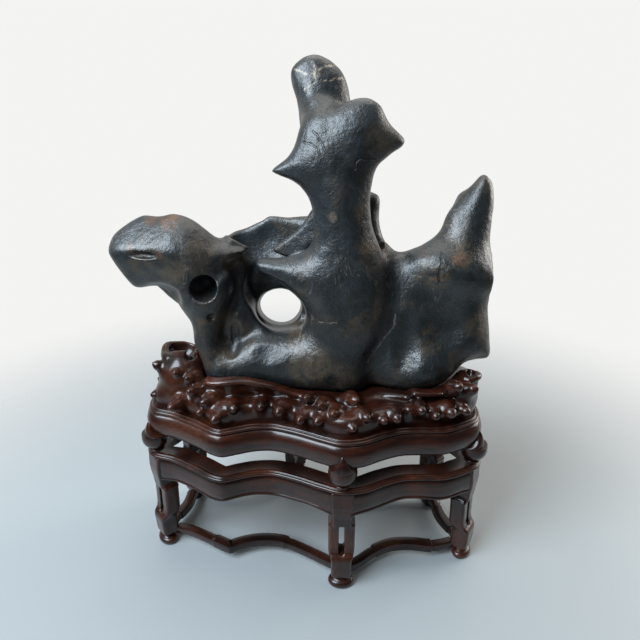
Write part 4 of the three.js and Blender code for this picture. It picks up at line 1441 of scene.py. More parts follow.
    def marks(self, n: Nodes, base: Socket, broad: Socket, speckle: Socket) -> Socket:
        """Adds pale flecks and fine scratches all over.

        Args:
            n: The material's nodes.
            base: The colour so far.
            broad: Broad noise.
            speckle: Fine noise.

        Returns:
            The colour.
        """
        flecks = n.math("MULTIPLY", n.ramp(speckle, 0.66, 0.74), n.ramp(broad, 0.46, 0.60))
        base = n.mix(n.math("MULTIPLY", flecks, self.fleck_share), base, self.tan)
        scratch = n.noise(30.0, 3.0, 0.6, 1.5, n.stretched((1.0, 1.0, 0.22), (0.0, 38.0, 12.0)))
        fine = n.ramp(n.math("ABSOLUTE", n.math("SUBTRACT", scratch, 0.5)), 0.006, 0.0)
        scratched = n.math("MULTIPLY", fine, n.ramp(n.noise(11.0, 2.0), 0.50, 0.66))
        return n.mix(n.math("MULTIPLY", scratched, self.scratch_share), base, self.vein)

    def relief(self, n: Nodes, cracks: Socket) -> None:
        """Gives the skin its lumps, hide and pores, and cuts the cracks in.

        Args:
            n: The material's nodes.
            cracks: 1 in the cracks.
        """
        lumps = n.bump(n.noise(48.0, 3.0, 0.55), 0.30, 0.005)
        hide = n.bump(n.noise(170.0, 4.0, 0.62, 0.8), 0.42, 0.0019, lumps)
        pores = n.bump(n.cells(330.0), 0.14, 0.0010, hide)
        carved = n.bump(n.math("SUBTRACT", 1.0, cracks), 0.9, 0.0016, pores)
        n.link(carved, n.shader.inputs["Normal"])
        n.link(hide, n.shader.inputs["Coat Normal"])

    def material(self) -> Material:
        """Builds the stone's nodes.

        Returns:
            The material.
        """
        n = Nodes("waxed_stone")
        broad = n.noise(8.0, 4.0, 0.6, 0.8)
        speckle = n.noise(150.0, 4.0, 0.7)
        front = n.ahead_of(self.front_y)
        base = self.stains(n, self.clouds(n, broad), front)
        base = self.marks(n, base, broad, speckle)
        wander = n.flat(n.warped(90.0, 0.006))
        faint = n.math("MULTIPLY", n.lines(self.VEINS, 1.7, wander), self.vein_share)
        strong = n.math("MULTIPLY", n.lines(self.STAR, 2.3, wander), self.star_share)
        veins = n.math("MULTIPLY", n.math("MAXIMUM", faint, strong), n.ramp(speckle, 0.36, 0.56))
        base = n.mix(n.math("MULTIPLY", veins, front), base, self.vein)
        cracks = n.math("MULTIPLY", n.lines(self.CRACKS, 2.1, wander), front)
        base = n.mix(n.math("MULTIPLY", cracks, self.crack_share), base, self.crack)
        n.link(base, n.shader.inputs["Base Color"])
        n.link(n.span(n.noise(42.0, 5.0, 0.65), *self.rough), n.shader.inputs["Roughness"])
        n.wax(self.specular, self.coat, self.coat_roughness)
        self.relief(n, cracks)
        return n.material


@dataclass(frozen=True)
class PolishedWood:
    """Dark rosewood under an old glossy finish."""

    name: str
    dark: Triple = (0.011, 0.0034, 0.0022)
    red: Triple = (0.042, 0.0098, 0.0048)
    lit: Triple = (0.14, 0.038, 0.013)
    glow_share: float = 0.5
    shade: float = 0.3  # how dark the painted shade deep in the carving is, as a share of the dark tone
    rough: Pair = (0.24, 0.38)
    specular: float = 0.3
    coat: float = 0.4
    coat_roughness: float = 0.12
    grain: Triple = (1.5, 1.5, 7.0)

    def material(self) -> Material:
        """Builds the wood's nodes.

        Returns:
            The material.
        """
        n = Nodes(self.name)
        streak = n.noise(17.0, 5.0, 0.6, 0.5, n.stretched(self.grain))
        fibre = n.noise(80.0, 4.0, 0.6, 0.2, n.stretched(self.grain))
        base = n.mix(n.ramp(streak, 0.34, 0.70), self.dark, self.red)
        glow = n.math("MULTIPLY", n.ramp(n.noise(10.0, 3.0), 0.50, 0.70), n.ramp(fibre, 0.25, 0.75))
        base = n.mix(n.math("MULTIPLY", glow, self.glow_share), base, self.lit)
        # Painted shade: hollows in the carving, found by their pointiness, are darkened towards a deeper
        # dark tone.
        geometry = n.tree.nodes.new("ShaderNodeNewGeometry")
        clear_of_painted_shade = n.ramp(geometry.outputs["Pointiness"], 0.40, 0.53)
        base = n.mix(clear_of_painted_shade, tuple(c * self.shade for c in self.dark), base)
        n.link(base, n.shader.inputs["Base Color"])
        n.link(n.span(n.noise(30.0, 4.0), *self.rough), n.shader.inputs["Roughness"])
        n.wax(self.specular, self.coat, self.coat_roughness)
        waves = n.bump(n.noise(34.0, 2.0), 0.12, 0.003)
        n.link(n.bump(fibre, 0.08, 0.0005, waves), n.shader.inputs["Normal"])
        n.link(waves, n.shader.inputs["Coat Normal"])
        return n.material


@dataclass(frozen=True)
class PaleFloor:
    """Plain pale grey paint, which gives way to the pale room far from the object."""

    colour: Triple = (0.31, 0.335, 0.345)
    lighter: float = 1.06
    rough: float = 0.5
    near: float = 0.45
    far: float = 1.4

    def material(self) -> Material:
        """Builds the floor's nodes.

        Returns:
            The material.
        """
        n = Nodes("pale_floor")
        paler = tuple(c * self.lighter for c in self.colour)
        n.link(n.mix(n.noise(5.0, 4.0), self.colour, paler), n.shader.inputs["Base Color"])
        n.shader.inputs["Roughness"].default_value = self.rough
        distance = n.vector("LENGTH", n.place).outputs["Value"]
        clear = n.tree.nodes.new("ShaderNodeBsdfTransparent")
        blend = n.tree.nodes.new("ShaderNodeMixShader")
        n.link(n.ramp(distance, self.near, self.far), blend.inputs[0])
        n.link(n.shader.outputs[0], blend.inputs[1])
        n.link(clear.outputs[0], blend.inputs[2])
        n.link(blend.outputs[0], n.tree.nodes["Material Output"].inputs["Surface"])
        return n.material


# The stone


@dataclass
class ScholarStone:
    """The stone: plates, ridges and eggs run together, then hollowed by water."""

    finish: WaxedStone = field(default_factory=WaxedStone)
    cell: float = 2.8
    low: Triple = (-330.0, -104.0, 278.0)
    high: Triple = (310.0, 116.0, 818.0)

    def grown(self) -> list[Step]:
        """The forms that are added, in order.

        Returns:
            The forms and their blends.
        """
        column = Plate(
            outline=[
                (-12, 694), (-30, 667), (-50, 652), (-54, 645), (-43, 639), (-21, 630), (-5, 613),
                (3, 589), (4, 555), (-8, 533), (-38, 523), (-76, 520), (-84, 512), (-78, 500),
                (-45, 478), (-12, 440), (-14, 405), (-30, 360), (-20, 318), (40, 308), (74, 310),
                (90, 345), (120, 404), (124, 440), (120, 500), (106, 537), (93, 570), (88, 600),
                (90, 630), (97, 652), (114, 668), (128, 678), (131, 688), (109, 711), (97, 731),
                (80, 741), (58, 739), (20, 720),
            ],
            y=-14, half=46, edge=62, power=2, lean=-0.03, pivot=(0, 500), taper=0.14, soft=14,
        )
        finger = Plate(
            outline=[
                (5, 800), (-16, 794), (-30, 779), (-29, 760), (-21, 736), (-17, 703), (-10, 650),
                (10, 600), (50, 600), (62, 650), (58, 735), (52, 762), (43, 779), (26, 793),
            ],
            y=34, half=27, edge=30, power=2.3, lean=0.06, pivot=(0, 720),
        )
        back_wall = Plate(
            outline=[
                (-146, 524), (-131, 545), (-108, 554), (-84, 565), (-69, 573), (-40, 571), (-8, 574),
                (14, 572), (50, 600), (80, 612), (98, 609), (106, 600), (107, 568), (112, 545),
                (128, 510), (150, 470), (150, 420), (140, 330), (90, 306), (-60, 306), (-140, 330),
                (-165, 370), (-160, 420),
            ],
            y=52, half=22, edge=22, pivot=(0, 500), taper=0.15,
        )
        wing = Plate(
            outline=[
                (110, 540), (134, 526), (166, 526), (182, 538), (195, 558), (206, 586), (230, 612),
                (250, 638), (260, 638), (271, 624), (275, 590), (274, 535), (275, 477), (283, 418),
                (290, 374), (285, 357), (262, 353), (238, 344), (208, 326), (176, 306), (120, 304),
                (80, 330), (90, 430),
            ],
            y=10, half=40, edge=50, power=1.8, lean=0.12, turn=0.02, pivot=(180, 450), taper=0.1,
            soft=12,
        )
        arm = Plate(
            outline=[
                (-305, 527), (-301, 545), (-290, 561), (-256, 585), (-230, 583), (-204, 586),
                (-178, 576), (-157, 560), (-140, 547), (-118, 538), (-99, 529), (-112, 520),
                (-125, 500), (-125, 470), (-140, 430), (-190, 425), (-215, 450), (-240, 470),
                (-273, 472), (-293, 502),
            ],
            y=-12, half=50, edge=54, power=1.8, turn=0.08, pivot=(-200, 500),
        )
        leg = Plate(
            outline=[
                (-188, 470), (-188, 420), (-185, 376), (-168, 332), (-147, 308), (-110, 308),
                (-118, 340), (-138, 380), (-134, 420), (-118, 470), (-130, 500),
            ],
            y=-24, half=36, edge=40,
        )
        arm_sheet = Plate(
            outline=[
                (-266, 480), (-246, 452), (-220, 426), (-192, 408), (-150, 400), (-120, 450),
                (-150, 520), (-220, 520),
            ],
            y=22, half=18, edge=18, power=1.8,
        )
        lower_body = Plate(
            outline=[
                (-172, 330), (-150, 305), (-60, 303), (60, 300), (90, 308), (90, 360), (10, 400),
                (-50, 398), (-85, 398), (-120, 385), (-150, 370),
            ],
            y=-8, half=50, edge=46, power=2.2,
        )
        return [
            (column, 18), (finger, 22), (back_wall, 20), (wing, 18),
            (Bar((10, 26, 752), (14, -8, 700), 20, 26), 20),  # from the finger down to the head
            (Egg((224, 6, 500), (72, 42, 32), tip=14, turn=6), 32),  # belly across the wing
            (Egg((178, -10, 350), (52, 48, 40)), 26),  # foot of the wing
            (arm, 18), (leg, 18), (arm_sheet, 14), (lower_body, 22),
            (Egg((-118, 2, 408), (24, 30, 44)), 12),  # between the leg and the bowl
            (Bar((-122, 22, 540), (-108, 8, 450), 16, 17), 18),  # pillar left of the hole
            (Bar((-108, 8, 450), (-84, -4, 402), 17, 15), 18),
            # Ridges on the back
            (Bar((-140, 54, 520), (-60, 84, 470), 10, 13), 26),
            (Bar((60, 66, 585), (20, 86, 500), 10, 14), 26),
            (Bar((20, 86, 500), (-20, 60, 345), 14, 15), 26),
            (Bar((140, 50, 480), (90, 84, 400), 12, 15), 24),
            (Bar((-120, 70, 420), (-95, 60, 345), 12, 15), 24),
            (Bar((234, 52, 600), (205, 66, 470), 10, 14), 26),
            (Bar((205, 66, 470), (150, 56, 350), 14, 17), 26),
            (Bar((-275, 20, 530), (-200, 48, 520), 10, 14), 22),
        ]

    def hollows(self) -> list[Step]:
        """The forms that are taken out, in order.

        Returns:
            The forms and their blends.
        """
        return [
            (Egg((-52, 0, 432), (36, 190, 30), lean=-14, turn=6), 8),  # the hole right through
            (Egg((-62, 6, 462), (42, 40, 36)), 12),  # under the beak
            (Egg((-70, 24, 548), (60, 22, 46)), 12),  # between the column and the wall behind
            (Facet((-244, -42, 557), (-0.1, -0.66, 0.74), 78), 14),  # flats of the arm
            (Facet((-244, -55, 518), (-0.1, -0.95, -0.30), 62), 12),
            (Facet((18, 9, 780), (0.05, -0.95, 0.30), 40), 8),  # flat front of the finger
            (Egg((-156, -62, 481), (18.5, 42, 19)), 4),  # blind pit and the dimple under it
            (Egg((-147, -62, 434), (6.5, 16, 7)), 3),
            (Egg((-241, -63, 531), (25, 15, 4.4), tip=2), 3),  # groove along the arm
            (Egg((-240, -66, 452), (50, 56, 33), tip=-20), 5),  # underside of the arm
            (Egg((-66, -96, 396), (54, 52, 50)), 6),  # bowl of the lower body
            (Egg((-120, -50, 402), (16, 29, 36), tip=8), 4),  # recess beside the leg
            (Egg((-206, -70, 390), (30, 40, 60)), 6),  # left flank of the leg
            (Egg((192, -66, 618), (58, 58, 66), tip=24), 4),  # upper face of the wing
            (Egg((215, -96, 428), (82, 70, 62)), 7),  # dark face under its belly
            (Egg((324, -6, 490), (50, 50, 96), tip=-4), 2.5),  # right side of the wing
            (Egg((288, -64, 352), (60, 52, 30)), 6),
            (Egg((136, -84, 716), (46, 46, 62), tip=-20), 5),  # head, beside its ridge
            (Egg((-6, -118, 700), (70, 70, 110), tip=24), 6),
            (Egg((-40, -84, 580), (50, 60, 60)), 10),  # flanks of the neck
            (Egg((134, -86, 600), (52, 62, 74)), 10),
            (Egg((150, -84, 420), (34, 50, 90), tip=8), 8),  # step between column and wing
            # Hollows on the back
            (Egg((-95, 112, 520), (46, 46, 34), tip=10), 8),
            (Egg((-60, 128, 400), (46, 60, 44)), 8),
            (Egg((70, 120, 540), (30, 50, 40)), 8),
            (Egg((62, 124, 440), (46, 56, 50), tip=-14), 8),
            (Egg((50, 126, 345), (52, 58, 36)), 8),
            (Egg((-140, 110, 460), (26, 44, 40)), 8),
            (Egg((252, 88, 520), (34, 50, 70), tip=8), 8),
            (Egg((160, 100, 430), (34, 50, 50)), 8),
            (Egg((245, 90, 400), (44, 56, 40)), 8),
            (Egg((-240, 62, 560), (60, 30, 30)), 8),
            (Egg((30, 88, 700), (22, 40, 60), tip=4), 10),
            (Egg((20, 70, 636), (7, 30, 8)), 5),
            (Egg((190, 80, 392), (9, 30, 11)), 5),
        ]

    def last_forms(self) -> list[Step]:
        """Thin forms that stand in the hollows.

        Returns:
            The forms and their blends.
        """
        inner_fin = Plate(
            outline=[
                (-62, 520), (-58, 532), (-36, 548), (-16, 566), (0, 590), (14, 604), (26, 590),
                (20, 560), (-4, 530), (-30, 512),
            ],
            y=16, half=7, edge=7, power=1.8, lean=0.1, turn=-0.25, pivot=(-20, 550),
        )
        spur = Bar((-122, -2, 540), (-96, 4, 531), 7, 2.5)
        return [(inner_fin, 5), (spur, 6)]

    def shape(self, clay: Clay, room: float = 4.0) -> Clay:
        """Works a block of clay into the stone."""
        return clay.grow(self.grown(), room).hollow(self.hollows(), room).grow(self.last_forms(), room)

    def weather(self, points: Array, quads: Array) -> Array:
        """Sinks the skin into low lumps and dimples, never outward.

        Args:
            points: The points.
            quads: The faces.

        Returns:
            The points as sunk.
        """
        out = normals_of(points, quads)
        depth = 1.6 * lattice_noise(points, 44, 3.1) + 1.2 * lattice_noise(points, 19, 7.7)
        depth += 0.5 * lattice_noise(points, 9, 1.3)
        return points - out * depth[:, None]

    def build(self) -> Piece:
        """Makes the stone.

        Returns:
            The stone.
        """
        cell = self.cell * 1.0
        points, quads = self.shape(Clay(self.low, self.high, cell)).skin()
        points = self.weather(points, quads)
        material = self.finish.material()
        return make_piece("scholars_stone", points, quads, material, Slot.STONE, "stone")


# The carved top


@dataclass
class CarvedTop:
    """The tier that holds the stone: rockwork full of knobs on a polished rim, with six buds."""

    plan: Plan
    stone: ScholarStone
    finish: PolishedWood = field(default_factory=lambda: PolishedWood("carved_rosewood"))
    cell: float = 2.1
    rim_z: float = 229.5
    rim_top: float = 276.0
    crust_inset: float = 12.0
    socket_play: float = 1.2
    collar_width: float = 14.0
    collar_low: float = 272.0
    back_knobs: int = 22
    mound: float = 12.5
    neck: Pair = (11.6, 8.2)
    point: Pair = (6.0, 2.3)
    point_reach: float = 12.0

    FRONT_KNOBS = (
        (-243, -34, 342), (-251, -36, 291), (-208, -52, 339), (-186, -58, 333), (-209, -82, 298),
        (-178, -76, 321), (-154, -86, 310), (-161, -92, 297), (-136, -103, 293), (-113, -95, 306),
        (-71, -90, 308), (-41, -92, 303), (1, -84, 320), (-7, -102, 296), (23, -92, 314),
        (42, -105, 309), (20, -107, 298), (68, -115, 292), (87, -105, 304), (70, -78, 316),
        (113, -98, 295), (133, -95, 299), (170, -90, 310), (192, -89, 301), (214, -84, 304),
        (238, -74, 301), (223, -73, 340), (248, -60, 329),
    )

    def knobs(self) -> list[tuple[Array, Array]]:
        """Where each knob stands, and the way that it points.

        Returns:
            Place and way of each.
        """
        places = [np.array(k, float) for k in self.FRONT_KNOBS]
        start = Corner.RIGHT.at
        for i in range(self.back_knobs):
            u = start + 0.8 + i * (self.plan.count - start - 1.4) / (self.back_knobs - 1)
            x, y = self.plan.beside(u, -18 - (i % 2) * 14)[0]
            z = 297 + (i % 2) * 19 + 6 * math.sin(i * 1.9)
            places.append(np.array([x * Plan.UPPER_LENGTH, y, z]))
        u = np.arange(self.plan.count * 8) / 8
        edge = self.plan.beside(u, 0)
        out = self.plan.beside(u, 1) - edge
        pointed = []
        for p in places:
            nearest = np.argmin(np.hypot(*(edge * (Plan.UPPER_LENGTH, 1) - p[:2]).T))
            rise = 0.15 + 0.5 * smooth_step((p[2] - 296) / 36)
            way = np.array([*out[nearest], rise])
            pointed.append((p, way / np.linalg.norm(way)))
        return pointed

    def collar(self, x: Array, z: Array, from_stone: Array) -> Array:
        """The smooth lip that follows the stone where it goes into its socket.

        Args:
            x: Places along X.
            z: Places up.
            from_stone: The distance to the stone.

        Returns:
            The value, below 0 inside.
        """
        left = smooth_step((x + 176) / 16) * smooth_step((4 - x) / 70)
        right = smooth_step((x - 150) / 14) * smooth_step((228 - x) / 12)
        top = 313 + 3 * np.sin(x * 0.05 + 0.6) + (left * 20 - 0.05 * x * left) + right * 12
        level = np.maximum(z - top, self.collar_low - z)
        bead = 2.6 * np.exp(-(((z - top + 5) / 4.5) ** 2))
        return smooth_max(from_stone - self.collar_width - bead, level + 0 * from_stone, 7)

    def crater_lip(self) -> list[Step]:
        """The curled and wavy lip of the crater at the left end, and the ring at the right end.

        Returns:
            The forms and their blends.
        """
        steps: list[Step] = []
        crater = ((-216, -4), (30, 25), 356, 3.0, 6.2, 28)
        ring = ((254, -26), (13, 13), 336, 1.0, 4.6, 14)
        for middle, radii, height, wave, thick, count in (crater, ring):
            places = []
            for k in range(count):
                a = 2 * math.pi * k / count
                reach = 1 + 0.08 * math.sin(3 * a + 1)
                z = height + wave * (math.sin(2 * a + 2.6) + 0.4 * math.sin(5 * a))
                x, y = (m + r * reach * f(a) for m, r, f in zip(middle, radii, (math.cos, math.sin)))
                places.append((x, y, z))
            for a, b in zip(places, [*places[1:], places[0]]):
                steps.append((Bar(a, b, thick, thick), 3.0))
        return steps

    def rockwork(self) -> tuple[Array, Array]:
        """Carves the rockwork.

        Returns:
            Its points and faces.
        """
        cell = self.cell * 1.0
        low, high = (-302.0, -142.0, 252.0), (306.0, 136.0, 392.0)
        around = self.stone.shape(Clay(low, high, cell), room=34.0)
        outline = self.plan.ring(-self.crust_inset, 0, 2, Plan.UPPER_LENGTH)[:, :2]
        crust = Plate(outline=outline, y=282, half=24, edge=16, power=3.2, flat=True)
        clay = Clay(low, high, cell)
        clay.grow([
            (crust, 10),
            (Egg((-212, -8, 318), (42, 54, 50), turn=8), 18),  # raised left end
            (Egg((-236, 34, 300), (22, 30, 34)), 14),
            (Egg((242, -12, 304), (30, 52, 34), turn=-6), 16),  # raised right end
            (Egg((254, -24, 330), (15, 14, 16)), 8),
        ])
        knobs = self.knobs()
        sizes = [1 + 0.14 * math.sin(2.4 * k + 0.5) for k in range(len(knobs))]
        mounds, nubs = [], []
        for (p, n), size in zip(knobs, sizes):
            mounds.append((Egg(tuple(p - n * 12), (self.mound * size,) * 3), 12.0))
            wide, narrow = (radius * size for radius in self.neck)
            nubs.append((Bar(tuple(p - n * 5), tuple(p + n * 4.5), wide, narrow), 3.0))
            tip = tuple(p + n * (self.point_reach * size))
            nubs.append((Bar(tuple(p), tip, self.point[0] * size, self.point[1]), 4.0))
        clay.grow(mounds)
        x, _, z = clay.places()
        clay.value = smooth_min(clay.value, self.collar(x, z, around.value), 10)
        clay.grow(nubs).grow(self.crater_lip())
        clay.hollow([
            (Egg((-214, 0, 372), (25, 21, 34), lean=10), 5),  # crater at the left
            (Egg((-196, -22, 356), (8, 14, 10)), 4),
            (Egg((255, -26, 345), (7, 9, 14)), 3),  # ring at the right
        ])
        clay.value = smooth_max(clay.value, self.socket_play - around.value, 1)
        return clay.skin()

    def rim(self) -> tuple[Array, list]:
        """The polished rim: a fat convex moulding under two beads, with a panel let in below.

        Returns:
            The points and the faces.
        """
        z = self.rim_z
        underside = [(-34, z + 3.5), (-32, z + 3.5), (-31, z + 0.4), (-29, z)]
        body = round_profile([
            (-6, z), (1, z + 2), (6, z + 9), (8, z + 20), (6.5, z + 31), (2.5, z + 38.5),
            (-0.5, z + 40.4),
        ], 4)
        beads = round_profile([
            (-0.8, z + 40.8), (1.4, z + 42.2), (1.6, z + 44.6), (-0.6, z + 46.2), (-2.0, z + 46.0),
        ], 3)
        upper = round_profile([
            (-2.4, z + 46.2), (-3.2, z + 48.0), (-5.4, z + 48.8), (-8.0, z + 47.6), (-12.0, z + 46.5),
        ], 3)
        rings = []
        for scale in (0.25, 0.5, 0.75, 0.95):
            ring = self.plan.ring(-34, z + 3.5, 6, Plan.UPPER_LENGTH)
            ring[:, :2] *= scale
            rings.append(ring)
        for offset, height in [*underside, *body, *beads, *upper, (-30, self.rim_top - 4)]:
            rings.append(self.plan.ring(offset, height, 6, Plan.UPPER_LENGTH))
        last = rings[-1].copy()
        last[:, :2] *= 0.5
        rings.append(last)
        return loft(rings, centre=True)

    def leaf(self) -> tuple[Array, Array]:
        """The pointed top of a bulb, which climbs the rim like a bud, facing +X.

        Returns:
            The points and the faces.
        """
        z = self.rim_z
        clay = Clay((-14, -25, z - 1.5), (20, 25, 262), 1.1)
        x, y, up = clay.places()
        share = np.clip((up - z) / (258 - z), 0, 1)
        half = 21.0 * (1 - share) ** 0.8 * (1 - 0.35 * np.sin(share * math.pi))
        side = (np.abs(y) - half) * 0.8
        middle = KnobFeet.inset
        face = Egg((-middle, 0, z - 6), (22.6, 22.6, 40)).at(x, y, up)
        ridge = 1.3 * np.exp(-((y / 2.2) ** 2)) * share
        clay.value = smooth_max(smooth_max(face - ridge, side, 2.0), -(up - z), 1.0)
        clay.value = smooth_max(clay.value, -(x + 11), 1)
        return clay.skin(2)

    def build(self) -> list[Piece]:
        """Makes the rockwork, the rim and the buds.

        Returns:
            The pieces, rockwork first.
        """
        material = self.finish.material()

        def piece(name: str, mesh: tuple, sharp: float | None = None) -> Piece:
            """One piece of this tier."""
            return make_piece(name, *mesh, material, Slot.CARVED_WOOD, "carved_top", sharp)

        made = [piece("rockwork", self.rockwork()), piece("rim", self.rim(), 50)]
        points, quads = self.leaf()
        for corner in Corner:
            placed = self.plan.to_corner(corner, 0, points, Plan.UPPER_LENGTH)
            made.append(piece(f"leaf_{corner.label}", (placed, quads)))
        return made


# The feet between the tiers


@dataclass
class KnobFeet:
    """Six bulbs between the tiers, each on a short ringed neck."""

    plan: Plan
    material: Material
    low: float = 196.3
    top: float = 229.2
    radius: float = 22.2
    inset: float = 6.2

    def profile(self) -> list[Pair]:
        """Radius and height, from the lip of the lower stand up.

        Returns:
            The profile.
        """
        z = self.low
        ring = round_profile([(11.4, z), (12.8, z + 1.6), (12.6, z + 3.8), (10.8, z + 4.8)], 4)
        neck = round_profile([(10.2, z + 5.2), (10.6, z + 6.4), (13.2, z + 8.0)], 4)
        bulb = round_profile([
            (14.0, z + 8.6), (18.6, z + 13), (21.4, z + 19), (self.radius, z + 25),
            (22.0, z + 29), (21.4, self.top),
        ], 5)
        return [(0.4, z), *ring, *neck, *bulb, (0.4, self.top)]

    def build(self) -> list[Piece]:
        """Makes the six bulbs.

        Returns:
            The pieces.
        """
        points, faces = turned(self.profile(), 56)
        made = []
        for corner in Corner:
            placed = self.plan.to_corner(corner, self.inset, points)
            name = f"bulb_{corner.label}"
            node = f"knob_foot_{corner.label}"
            made.append(make_piece(name, placed, faces, self.material, Slot.CARVED_WOOD, node, 50))
        return made


# The lower stand


@dataclass
class LowerStand:
    """The lower stand: an open frame on six legs, with aprons, stretchers and bun feet."""

    plan: Plan
    level: Material
    upright: Material
    frame_z: float = 187.3
    frame_top: float = 191.5
    frame_width: float = 30.0
    apron_height: float = 39.0
    apron_depth: float = 15.0
    leg_inset: float = 4.0
    gap: float = 0.3
    foot_height: float = 14.0
    foot_width: float = 42.0
    foot_depth: float = 31.0
    slot_width: float = 9.0
    slot_low: float = 65.0
    slot_high: float = 120.0
    stretcher_z: float = 15.0
    stretcher_width: float = 18.0
    stretcher_height: float = 14.5

    # Height, width, depth, and how far the face stands out of the leg's middle
    LEG_LEVELS = (
        (14.3, 25, 24, 8.5), (17, 27.5, 25.5, 9.5), (23, 32, 29, 12.5), (34, 33, 30, 13.4),
        (50, 33, 30, 14), (57, 34, 30.5, 14.2), (62, 37.5, 29, 12.4), (68, 41.5, 26.5, 6.4),
        (76, 42.5, 26, 4.4), (112, 42.5, 26, 3.2), (122, 42.3, 26, 3.0),
    )
    LEG_UPPER = (
        (120.6, 30, 22, 5.6), (124, 30.4, 24, 6.2), (137, 31, 26, 7.2), (150, 32.6, 26, 9),
        (162, 34.2, 26, 9.8), (187, 36, 26, 8),
    )

    # Where a stretcher's middle starts and ends, as shares of the way between two corners
    LAPS = {Corner.LEFT: (0.20, 0.725), Corner.FRONT: (0.31, 0.74)}
    OTHER_LAPS = (0.27, 0.73)

    def piece(self, name: str, mesh: tuple, node: str, sharp: float | None = None,
              upright: bool = False) -> Piece:
        """One rosewood piece in place of a CAD node."""
        material = self.upright if upright else self.level
        return make_piece(name, *mesh, material, Slot.ROSEWOOD, node, sharp)

    def frame(self) -> Piece:
        """The open frame with a double bead for a lip.

        Returns:
            The frame.
        """
        z = self.frame_z
        section = [
            *round_profile([(2.6, z), (5.6, z + 0.2), (7.6, z + 1.9), (8.0, z + 3.9), (6.9, z + 5.8),
                            (4.6, z + 6.6)], 3),
            *round_profile([(4.1, z + 6.9), (3.4, z + 8.0), (1.2, z + 8.7), (-1.6, z + 8.5),
                            (-3.0, z + 7.4)], 3),
            (-3.4, z + 5.6), (-3.6, self.frame_top + 0.3), (-4.2, self.frame_top),
            (-self.frame_width + 0.6, self.frame_top), (-self.frame_width, self.frame_top - 0.6),
            (-self.frame_width, z + 0.5), (-self.frame_width + 0.5, z),
        ]
        rings = [self.plan.ring(offset, height, 6) for offset, height in section]
        points, faces = loft(rings, closed=True)
        return self.piece("stand_frame", (points, faces), "open_frame", 40)

    def leg_mesh(self) -> tuple[Array, Array]:
        """One leg, facing +X: a slotted block between two shoulders, on a knuckle.

        Returns:
            The points and the faces.
        """
        clay = Clay((-24, -25, 12), (19, 25, 190), 1.35)
        x, y, z = clay.places()

        def block(levels: Sequence[Sequence[float]], corner: float) -> Array:
            """A four-sided post with rounded corners, by the levels.

            Args:
                levels: Rows of LEG_LEVELS.
                corner: The corners' radius.

            Returns:
                The value, below 0 inside.
            """
            width, depth, out = between(levels, z)
            dx = np.abs(x - (out - depth / 2)) - (depth / 2 - corner)
            dy = np.abs(y) - (width / 2 - corner)
            outer = np.hypot(np.maximum(dx, 0), np.maximum(dy, 0))
            side = outer + np.minimum(np.maximum(dx, dy), 0) - corner
            low, high = levels[0][0], levels[-1][0] - self.gap
            return smooth_max(side, np.maximum(low - z, z - high), 1.6)

        lower = block(self.LEG_LEVELS, 5.0)
        shoulder = np.abs(y) - (21.2 - 0.55 * np.maximum(z - 119, 0))
        ears = smooth_max(
            np.maximum(np.abs(x + 10) - 13, np.maximum(118 - z, z - 139)) + 0 * y, shoulder, 5
        )
        upper = block(self.LEG_UPPER, 4.0)
        clay.value = smooth_min(smooth_min(lower, ears, 3), upper, 1.2)
        radius = self.slot_width / 2
        along = np.clip(z, self.slot_low + radius, self.slot_high - radius)
        slot = np.hypot(y, z - along) - radius + 0 * x
        clay.value = smooth_max(clay.value, -slot, 1.2)
        return clay.skin(2)

    def apron(self, corner: Corner) -> Piece:
        """The apron after a corner, with a bead along its lower edge.

        Args:
            corner: The corner.

        Returns:
            The apron.
        """
        start, end = self.plan.side_range(corner)
        first = start + self.plan.leg_side(corner, 1, 13, self.leg_inset)
        last = end - self.plan.leg_side(corner.next, -1, 13, self.leg_inset)
        top = self.frame_z - self.gap
        inner = 4 - self.apron_depth
        rings = []
        for u in np.linspace(first, last, 60):
            t = (u - start) / (end - start)
            near_end = max(0.0, 1 - min(t, 1 - t) / 0.2)
            wave = 2 * math.cos((t - 0.5) * 4 * math.pi)
            low = top - self.apron_height - 11 * near_end**2 + wave * (1 - near_end)
            section = [
                (1.6, top), (3.2, top - 3), (4.6, top - 8), (5.4, top - 14), (5.3, low + 14),
                (4.8, low + 8.0), (4.2, low + 6.6), (5.0, low + 5.6), (5.6, low + 4.2),
                (5.4, low + 2.6), (4.4, low + 1.2), (2.6, low), (0.0, low), (inner + 1, low),
                (inner, low + 1), (inner, top - 10), (inner, top),
            ]
            flat = self.plan.beside(np.full(len(section), u), np.array([s[0] for s in section]))
            rings.append(np.column_stack([flat, [s[1] for s in section]]))
        points, faces = loft(rings[::-1])
        return self.piece(f"skirt_{corner.side}", (points, faces), f"apron_{corner.side}", 45)

    @staticmethod
    def smoothed(line: Array, reach: int) -> Array:
        """A line evened out by a running mean, with its ends kept in place.

        Args:
            line: The line.
            reach: How many places the mean reaches to each side.

        Returns:
            The line as evened out.
        """
        ends = [2 * line[0] - line[reach:0:-1], line, 2 * line[-1] - line[-2 : -reach - 2 : -1]]
        padded = np.concatenate(ends)
        window = np.hanning(2 * reach + 3)[1:-1]
        window /= window.sum()
        return np.stack([np.convolve(padded[:, k], window, "valid") for k in (0, 1)], 1)

